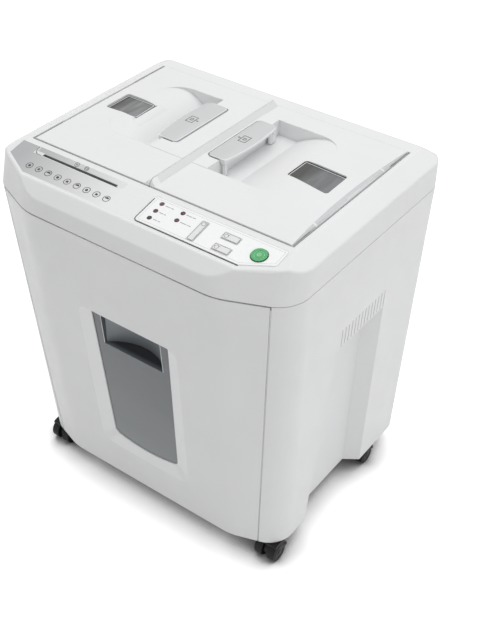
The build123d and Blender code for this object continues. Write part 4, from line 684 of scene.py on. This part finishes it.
piece("panel_painted_shade", "cabinet", panel_painted_shade, draw_panel_painted_shade)
piece("scoop_painted_shade", "cabinet", panel_painted_shade, draw_scoop_painted_shade)
piece("panel_edge_highlight", "cabinet", film, draw_panel_edge_highlight)
piece("slot_shade", "cabinet", bin_grey, draw_slot_shade)
piece("scoop_shade_line", "cabinet", ink_black, draw_scoop_shade_line)

# Plain marks on the cover: a row of rings on the panel, a disc and a card by the slot
MARK_ROW_X, MARK_ROW_V, MARK_COUNT, MARK_R = (-166.0, -38.5), -34.0, 9, 4.6


def draw_mark_row(mesh):
    """Row of rings with plain fillings."""
    step, line = (MARK_ROW_X[1] - MARK_ROW_X[0]) / (MARK_COUNT - 1), 0.9
    dot_r, square, half_disc_r = 2.1, 3.4, 3.0
    for i in range(MARK_COUNT):
        place = (MARK_ROW_X[0] + i * step, MARK_ROW_V)
        printed_line(mesh, PANEL, circle(place, MARK_R), line, PRINT_HIGH)
        fillings = (circle(place, dot_r, count=20), rectangle(place, square, square),
                    circle(place, half_disc_r, count=24)[:13])
        printed(mesh, PANEL, fillings[i % len(fillings)], PRINT_HIGH)


def draw_slot_marks(mesh):
    """Two rings on the scoop above the slot: one round a disc's hole, one round a card."""
    disc, card, ring_r, line = (-113.0, -3.6), (-97.0, -3.6), 3.1, 0.6
    hole_r, card_wide, card_high, card_corner = 1.0, 3.6, 2.2, 0.6
    hole = circle(disc, hole_r, count=20)
    card_edge = rounded(rectangle(card, card_wide, card_high), card_corner, steps=3)
    for outline in (circle(disc, ring_r), hole, circle(card, ring_r), card_edge):
        printed_line(mesh, SCOOP, outline, line, PRINT_HIGH)


piece("panel_mark_row", "cabinet", ink_black, draw_mark_row)
piece("slot_marks", "cabinet", ink_black, draw_slot_marks)

# Levers: grey inlay on the white bridge, with a plain page-and-arrow mark
LEVER_PAGES = {"right": (19.6, 156.5), "left": (-66.8, 157.0)}
LEVER_TOES = {"right": (8.0, 23.2), "left": (-68.2, -51.5)}
INLAY_RIM, INLAY_HIGH, INLAY_SUNK = 1.2, 0.2, 0.3
PAGE_FRAMES, PAGE_LINE = ((10.5, 15.0), (3.4, 4.6)), 1.0
TAIL_OFF, TAIL_LONG, DOT_OFF, DOT_R = 7.2, 2.6, 2.0, 1.3


def lever_outline(side):
    """Lever's plate: straight beside the seam, bowed on the finger side."""
    (inner, outer), (low, high) = LEVERS[side], LEVER_Y
    steps = 8
    bow = []
    for i in range(steps + 1):
        t = i / steps
        bulge = LEVER_FLARE * t + (4 * LEVER_BOW - 2 * LEVER_FLARE) * t * (1 - t)
        bow.append((outer + bulge, low + (high - low) * t))
    right = rounded([(inner, low), *bow, (inner, high)], LEVER_CORNER)
    return right if side == "right" else [(-x, y) for x, y in reversed(right)]


for side, page in LEVER_PAGES.items():
    way = 1 if side == "right" else -1
    inlay = grown(lever_outline(side), -INLAY_RIM)

    def draw_inlay(mesh):
        plate(mesh, LIDS, inlay, LEVER_PROUD - INLAY_SUNK, LEVER_PROUD + INLAY_HIGH, INLAY_HIGH)

    def draw_lever_mark(mesh):
        level = LEVER_PROUD + INLAY_HIGH
        for size in PAGE_FRAMES:
            printed_line(mesh, LIDS, rectangle(page, *size), PAGE_LINE, level)
        tail = page[0] - TAIL_OFF * way
        printed(mesh, LIDS, rectangle((tail, page[1]), TAIL_LONG, PAGE_LINE), level)
        printed(mesh, LIDS, circle((tail - DOT_OFF * way, page[1]), DOT_R, count=16), level)

    def draw_lever_toe_shadow(mesh):
        """Painted shadow: dark line in front of the lever, under its front end."""
        wide, back = 1.4, LEVER_Y[0] - LEVER_END_GAP
        printed(mesh, LIDS, between(LEVER_TOES[side], (back - wide, back)), PLATEAU)

    piece(f"{side}_lever_toe_shadow", f"{side}_lid", ink_black, draw_lever_toe_shadow)
    piece(f"{side}_lever_inlay", f"{side}_lever", lever_grey, draw_inlay)
    piece(f"{side}_lever_mark", f"{side}_lever", ink_black, draw_lever_mark)

# Lid windows: painted shade lining the walls of the opening, and a pale bead on the pane
LINING_DROP = {"right": 1.9, "left": 2.8}
LINING, BEAD, BEAD_HIGH, PANE_CLEAR = (-0.35, -0.05), (-2.2, -1.1), 0.15, 0.02
for side, corners in LID_WINDOWS.items():
    opening = rounded(corners, WINDOW_CORNER)

    def draw_shade_lining(mesh):
        band(mesh, LIDS, opening, *LINING, PANE_CLEAR - PANE_DROP, -LINING_DROP[side])

    def draw_bead(mesh):
        band(mesh, LIDS, opening, *BEAD, PANE_CLEAR - PANE_DROP, BEAD_HIGH - PANE_DROP)

    piece(f"{side}_window_shade_lining", f"{side}_lid", ink_black, draw_shade_lining)
    piece(f"{side}_window_bead", f"{side}_lid", ink_pale, draw_bead)


# Sill over the left pane's inner end, where the pane stands out of the falling ramp
SILL_X = (-132.6, -128.8, -125.2, -121.5)
SILL_TOPS, SILL_FLUSH = (-2.93, -2.93, -4.7, -7.5), (-3.7, -4.9, -6.2, -7.7)
SILL_Y, SILL_TAPER, SILL_FEET = (117.0, 169.0), 4.0, (-5.2, -8.6)
EAR_X, EARS_Y, EAR_THICK = (-136.5, -132.7), ((116.5, 121.2), (164.9, 169.5)), 0.5


def draw_pane_sill(mesh):
    """Sloped sill whose ends run out into the ramp, with two ears that lap the pane's corners."""
    rows = ((SILL_Y[0] - SILL_TAPER, SILL_FLUSH), (SILL_Y[0], SILL_TOPS), (SILL_Y[1], SILL_TOPS),
            (SILL_Y[1] + SILL_TAPER, SILL_FLUSH))
    loops = []
    for y, tops in rows:
        section = [*zip(SILL_X, tops), (SILL_X[-1], SILL_FEET[1]), (SILL_X[0], SILL_FEET[0])]
        loops.append([Vector((x, LID_FRONT + y, LID_TOP + z)) * MM for x, z in section])
    skin(mesh, loops)
    for ear_y in EARS_Y:
        plate(mesh, LIDS, between(EAR_X, ear_y), SILL_TOPS[0] - EAR_THICK, SILL_TOPS[0])


piece("left_pane_sill", "left_lid", white, draw_pane_sill)


# Lid seam: a thin fin on the left lid narrows the gap along the crest
def draw_seam_fin(mesh):
    wide, clear, low, high, edge = 0.7, 0.02, -3.0, RIDGE_HEIGHT - 0.3, 0.2
    left, ends = SEAM_X - SEAM_GAP / 2 + clear, (14.0, LID_DEPTH - 6.0)
    plate(mesh, LIDS, between((left, left + wide), ends), low, high, edge)


def draw_ridge_face_shade(mesh):
    """Painted shade on the ridge's right face, slanted at its front end."""
    front, slant, back, low, below_crest = 12.5, 2.5, LID_DEPTH - 3.0, 0.2, 0.5
    high = (RIDGE_WIDE ** 2 + RIDGE_HEIGHT ** 2) ** 0.5 - below_crest
    printed(mesh, RIDGE, ((front, low), (back, low), (back, high), (front + slant, high)))


piece("seam_fin", "left_lid", white, draw_seam_fin)
piece("ridge_face_shade", "right_lid", ridge_painted_shade, draw_ridge_face_shade)


def draw_lid_edge_shade(mesh):
    """Painted shade of the hollow along the right lid's hinge barrel, widest in the middle."""
    wide, least, end_gap, outer = 7.0, 1.0, 2.0, HINGE_X + HINGE_R - 0.6
    steps, columns = 24, 6
    loops = []
    for i in range(steps + 1):
        y = end_gap + (LID_DEPTH - 2 * end_gap) * i / steps
        inner = outer - least - wide * sin(pi * i / steps)
        across = [inner + (outer - inner) * j / columns for j in range(columns + 1)]
        barrel = [(x, (HINGE_R ** 2 - max(0.0, x - HINGE_X) ** 2) ** 0.5 - HINGE_DROP) for x in across]
        top = [(x, z + PRINT_HIGH) for x, z in barrel]
        foot = [(x, z - PRINT_SUNK) for x, z in reversed(barrel)]
        loops.append([Vector((x, LID_FRONT + y, LID_TOP + z)) * MM for x, z in top + foot])
    skin(mesh, loops)


piece("right_lid_edge_shade", "right_lid", edge_painted_shade, draw_lid_edge_shade)

# Painted shade: fine grey lines at the lids' back edge, where the gap behind them shows
BACK_LINE_Y = (LID_DEPTH - 1.5, LID_DEPTH - 0.7)
for side, across in (("right", (SEAM_X + 1.0, 190.0)), ("left", (-190.0, SEAM_X - 1.0))):
    def draw_back_shade_line(mesh):
        printed(mesh, LIDS, between(across, BACK_LINE_Y))

    piece(f"{side}_lid_back_shade_line", f"{side}_lid", ink_pale, draw_back_shade_line)

# Hinge barrels: raised knuckles at the two breaks of the lid's outer edge
KNUCKLE_Y, KNUCKLE_LONG, KNUCKLE_EDGE = (50.6, 201.6), 4.0, 0.3
KNUCKLE_R, KNUCKLE_END_R = HINGE_R + 0.25, HINGE_R - 0.6
KNUCKLE_PROFILE = ((KNUCKLE_END_R, 0.0), (KNUCKLE_R, KNUCKLE_EDGE),
                   (KNUCKLE_R, KNUCKLE_LONG - KNUCKLE_EDGE), (KNUCKLE_END_R, KNUCKLE_LONG))
for side, way in (("right", 1), ("left", -1)):
    def draw_knuckles(mesh):
        for y in KNUCKLE_Y:
            end = (way * HINGE_X, LID_FRONT + y - KNUCKLE_LONG / 2, LID_TOP - HINGE_DROP)
            lathe(mesh, flat(end, (-1, 0, 0), (0, 0, 1)), (0, 0), KNUCKLE_PROFILE)

    piece(f"{side}_lid_knuckles", f"{side}_lid", white, draw_knuckles)


def draw_groove_fillet(mesh):
    """Pale fillet in the left lid's groove between the knuckles, clear of the lid when it opens."""
    wide, clear, foot, top, edge = 1.6, 0.75, -4.0, -0.6, 0.4
    inner = -HINGE_X - HINGE_R - clear
    ends = (KNUCKLE_Y[0] + KNUCKLE_LONG, KNUCKLE_Y[1] - KNUCKLE_LONG)
    plate(mesh, LIDS, between((inner - wide, inner), ends), foot, top, edge)


piece("left_groove_fillet", "cabinet", white, draw_groove_fillet)


# Drawer front: door edges that narrow the gap, painted shade lining the finger pull, painted highlights at
# the ends of the pull's mouth
for side, way in (("right", 1), ("left", -1)):
    def draw_door_edge(mesh):
        clear, wide, behind, deep = 0.05, 1.0, 0.7, 3.5
        corners = ((clear, behind), (wide, behind + DOOR_FLARE * wide), (wide, deep), (clear, deep))
        loops = []
        for z, x, y in DOOR_EDGES:
            loops.append([Vector((way * (x + u), LID_FRONT + y + v, z)) * MM for u, v in corners])
        skin(mesh, loops)

    piece(f"{side}_door_edge", "drawer", white, draw_door_edge)


def pull_arc(inset):
    """Back wall of the finger pull as x and distance back, from right to left."""
    rise = PULL_BACK - PULL_STRAIGHT
    radius = (PULL_HALF ** 2 + rise ** 2) / (2 * rise)
    spread, count = asin(PULL_HALF / radius), 24
    angles = [spread * (1 - 2 * i / count) for i in range(count + 1)]
    return [((radius - inset) * sin(a), PULL_BACK - radius + (radius - inset) * cos(a)) for a in angles]


def draw_pull_floor(mesh):
    """Painted shade on the floor of the finger pull, dark at the back."""
    inset, thick, level = 0.3, 0.15, PULL_Z[0] - LID_TOP
    half = PULL_HALF - inset
    outline = [(-half, PULL_MOUTH), (half, PULL_MOUTH), *pull_arc(inset)]
    plate(mesh, LIDS, outline, level - PRINT_SUNK, level + thick)


def draw_pull_wall(mesh):
    """Painted shade on the curved back wall of the finger pull, darker towards the bottom."""
    back, face, gap = 0.05, 0.4, 0.2
    low, high = PULL_Z[0] - LID_TOP + gap, PULL_Z[1] - LID_TOP - gap
    plate(mesh, LIDS, pull_arc(back) + pull_arc(face)[::-1], low, high)


def draw_pull_end_highlights(mesh):
    """Painted highlights: pale bars at the two ends of the pull's mouth."""
    off, wide, proud, edge = 0.6, 1.0, 0.3, 0.2
    low, high = [up_face(z) for z in PULL_Z]
    for way in (1, -1):
        bar = rectangle((way * (PULL_HALF + off), (low + high) / 2), wide, high - low)
        plate(mesh, FRONT, bar, -PANE_DEPTH - PRINT_SUNK, proud - PANE_DEPTH, edge)


piece("pull_floor", "drawer", pull_shade, draw_pull_floor)
piece("pull_wall", "drawer", pull_wall_shade, draw_pull_wall)
piece("pull_end_highlights", "drawer", ink_pale, draw_pull_end_highlights)


# Screws with a cross recess, standing for the plain heads; each recess is a dark cross of painted shade
SCREW_R, RECESS_REACH, RECESS_WIDE = 3.9, 2.1, 0.9
SCREW_FOOT_R, SCREW_FOOT = 0.96 * SCREW_R, 0.1
CROWN_SHARES = ((1.0, 0.55), (0.86, 0.85), (0.62, 1.0))


def draw_screw(mesh, face, place, low, high):
    """Pan head between two heights, with its crown given as shares of radius and height."""
    crown = [(SCREW_R * share, low + (high - low) * rise) for share, rise in CROWN_SHARES]
    lathe(mesh, face, place, [(SCREW_FOOT_R, low), (SCREW_R, low + SCREW_FOOT), *crown])


def cross(place):
    """Outline of a cross recess, counter-clockwise."""
    (x, y), a, b = place, RECESS_REACH, RECESS_WIDE / 2
    corners = ((b, -a), (b, -b), (a, -b), (a, b), (b, b), (b, a),
               (-b, a), (-b, b), (-a, b), (-a, -b), (-b, -b), (-b, -a))
    return [(x + u, y + v) for u, v in corners]


COVER_SCREWS = [(x, 486.1) for x in (-180.0, -60.0, 60.0, 180.0)]
BIN_SCREWS = [(x, up_face(z)) for x in (-110.0, 110.0) for z in (100.0, 250.0)]
BIN_INSIDE = flat((0, FACE_FOOT_Y, FACE_FOOT_Z), (-1, 0, 0), (0, -sin(FACE_LEAN), cos(FACE_LEAN)))
COVER_HEAD, COVER_RECESS = (-1.45, -0.5), (-0.8, -0.47)
BIN_HEAD, BIN_RECESS = (16.6, 18.7), (18.4, 18.73)


def draw_cover_screws(mesh):
    for place in COVER_SCREWS:
        draw_screw(mesh, REAR, place, *COVER_HEAD)


def draw_cover_recess_shade(mesh):
    for place in COVER_SCREWS:
        plate(mesh, REAR, cross(place), *COVER_RECESS)


def draw_bin_screws(mesh):
    for place in BIN_SCREWS:
        draw_screw(mesh, BIN_INSIDE, place, *BIN_HEAD)


def draw_bin_recess_shade(mesh):
    for place in BIN_SCREWS:
        plate(mesh, BIN_INSIDE, cross(place), *BIN_RECESS)


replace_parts(piece("cover_screw_heads", "cabinet", steel, draw_cover_screws), "cover_screws")
piece("cover_screw_recess_shade", "cabinet", ink_black, draw_cover_recess_shade)
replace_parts(piece("bin_screw_heads", "drawer", steel, draw_bin_screws), "bin_screws")
piece("bin_screw_recess_shade", "drawer", ink_black, draw_bin_recess_shade)

# Caster hubs: dished caps on the outer faces of each wheel pair, as radius and height
HUB_PROFILE = ((10.6, -0.4), (10.6, 0.35), (10.0, 0.6), (9.0, 0.6), (8.4, 0.1), (4.6, 0.1), (4.0, 0.7),
               (2.6, 0.9), (1.0, 0.95))
for place, (x, y) in CASTERS.items():
    def draw_hubs(mesh):
        for way in (1, -1):
            hub = flat((x + way * WHEEL_OUT, LID_FRONT + y - TRAIL, WHEEL_R), (0, way, 0), (0, 0, 1))
            lathe(mesh, hub, (0, 0), HUB_PROFILE)

    piece(f"caster_hubs_{place}", f"wheels_{place}", caster_black, draw_hubs)

# Floor, light and camera, in metres
FLOOR_HALF, MIDDLE = 12.0, (0.0, 0.0, 0.3)


def seen_directly(tree):
    """1 for rays from the camera, also by way of a gloss or a pane, and 0 for rays that carry light."""
    rays = tree.nodes.new("ShaderNodeLightPath")
    seen = rays.outputs["Is Camera Ray"]
    for other in ("Is Glossy Ray", "Is Transmission Ray"):
        either = tree.nodes.new("ShaderNodeMath")
        either.operation = "MAXIMUM"
        tree.links.new(seen, either.inputs[0])
        tree.links.new(rays.outputs[other], either.inputs[1])
        seen = either.outputs["Value"]
    return seen


def floor_finish():
    """White studio floor: a faint gloss, soft blotches, and a painted shadow close to the machine, in its
    colour and its glow.
    """
    finish = Finish("studio_floor")
    reach, shadow = 0.055, (0.45, 0.45, 0.45)
    blotches = finish.noise(scale=1.5, detail=3.0)
    pale = finish.ramp(blotches, (0.3, (0.86, 0.86, 0.865)), (0.7, (0.88, 0.88, 0.88)))
    shadow_occlusion = finish.node("ShaderNodeAmbientOcclusion", samples=8)
    shadow_occlusion.inputs["Distance"].default_value = reach
    finish.colour(finish.mix(finish.span(shadow_occlusion.outputs["AO"], 0.0, 1.0, 0.4, 0.8), shadow, pale))
    finish.roughness(finish.span(finish.noise(scale=20.0), 0.26, 0.34))
    finish.bump(finish.noise(scale=60.0), depth=0.00002)
    # Glow seen from the camera keeps the open floor white and is cut back near the machine: painted shadow.
    glow = finish.node("ShaderNodeMath", operation="MULTIPLY")
    finish.join(seen_directly(finish.tree), glow.inputs[0])
    finish.join(finish.span(shadow_occlusion.outputs["AO"], 0.0, 0.6, 0.5, 0.92), glow.inputs[1])
    finish.fix(emission_color=(1.0, 1.0, 1.0, 1.0))
    finish.join(glow.outputs["Value"], finish.shader.inputs["Emission Strength"])
    return finish.material


def draw_floor():
    data = bpy.data.meshes.new("studio_floor")
    corners = [(x, y, 0.0) for x, y in rectangle((0.0, 0.0), 2 * FLOOR_HALF, 2 * FLOOR_HALF)]
    data.from_pydata(corners, [], [(0, 1, 2, 3)])
    data.materials.append(floor_finish())
    made = bpy.data.objects.new("studio_floor", data)
    bpy.context.scene.collection.objects.link(made)


def set_world(ambient):
    """Even white surroundings, dimmer as a light than as a backdrop."""
    world = bpy.data.worlds.new("studio")
    world.use_nodes = True
    tree = world.node_tree
    level = tree.nodes.new("ShaderNodeMapRange")
    level.inputs["To Min"].default_value = ambient
    level.inputs["To Max"].default_value = 1.0
    tree.links.new(seen_directly(tree), level.inputs["Value"])
    tree.links.new(level.outputs["Result"], tree.nodes["Background"].inputs["Strength"])
    tree.nodes["Background"].inputs["Color"].default_value = (1.0, 1.0, 1.0, 1.0)
    bpy.context.scene.world = world


def softbox(name, place, target, size, power):
    """Square area lamp aimed at a point, its power in watts."""
    lamp = bpy.data.lights.new(name, "AREA")
    lamp.size = size
    lamp.energy = power
    made = bpy.data.objects.new(name, lamp)
    made.location = place
    made.rotation_mode = "QUATERNION"
    made.rotation_quaternion = (Vector(target) - Vector(place)).to_track_quat("-Z", "Y")
    bpy.context.scene.collection.objects.link(made)


def set_camera():
    """Camera of the photograph: place, viewing direction and roll in the part's frame."""
    place, forward, roll = (0.741, -0.95185, 1.2174), Vector((-0.4524, 0.6375, -0.6237)), radians(1.06)
    focal_px, image_high, sensor = 1091.0, 634.0, 36.0
    level = forward.cross(Vector((0, 0, 1))).normalized()
    right = level * cos(roll) + level.cross(forward) * sin(roll)
    up = right.cross(forward)
    lens = bpy.data.cameras.new("photo_camera")
    lens.sensor_width = sensor
    lens.lens = focal_px * sensor / image_high
    made = bpy.data.objects.new("photo_camera", lens)
    made.matrix_world = Matrix((right, up.normalized(), -forward.normalized())).transposed().to_4x4()
    made.location = place
    bpy.context.scene.collection.objects.link(made)
    bpy.context.scene.camera = made


draw_floor()
set_world(ambient=0.55)
softbox("key_softbox", (0.2, 0.3, 2.6), MIDDLE, size=2.5, power=27.0)
softbox("side_softbox", (2.5, -0.3, 0.9), MIDDLE, size=1.4, power=5.0)
set_camera()
bpy.context.scene.view_settings.view_transform = "Standard"
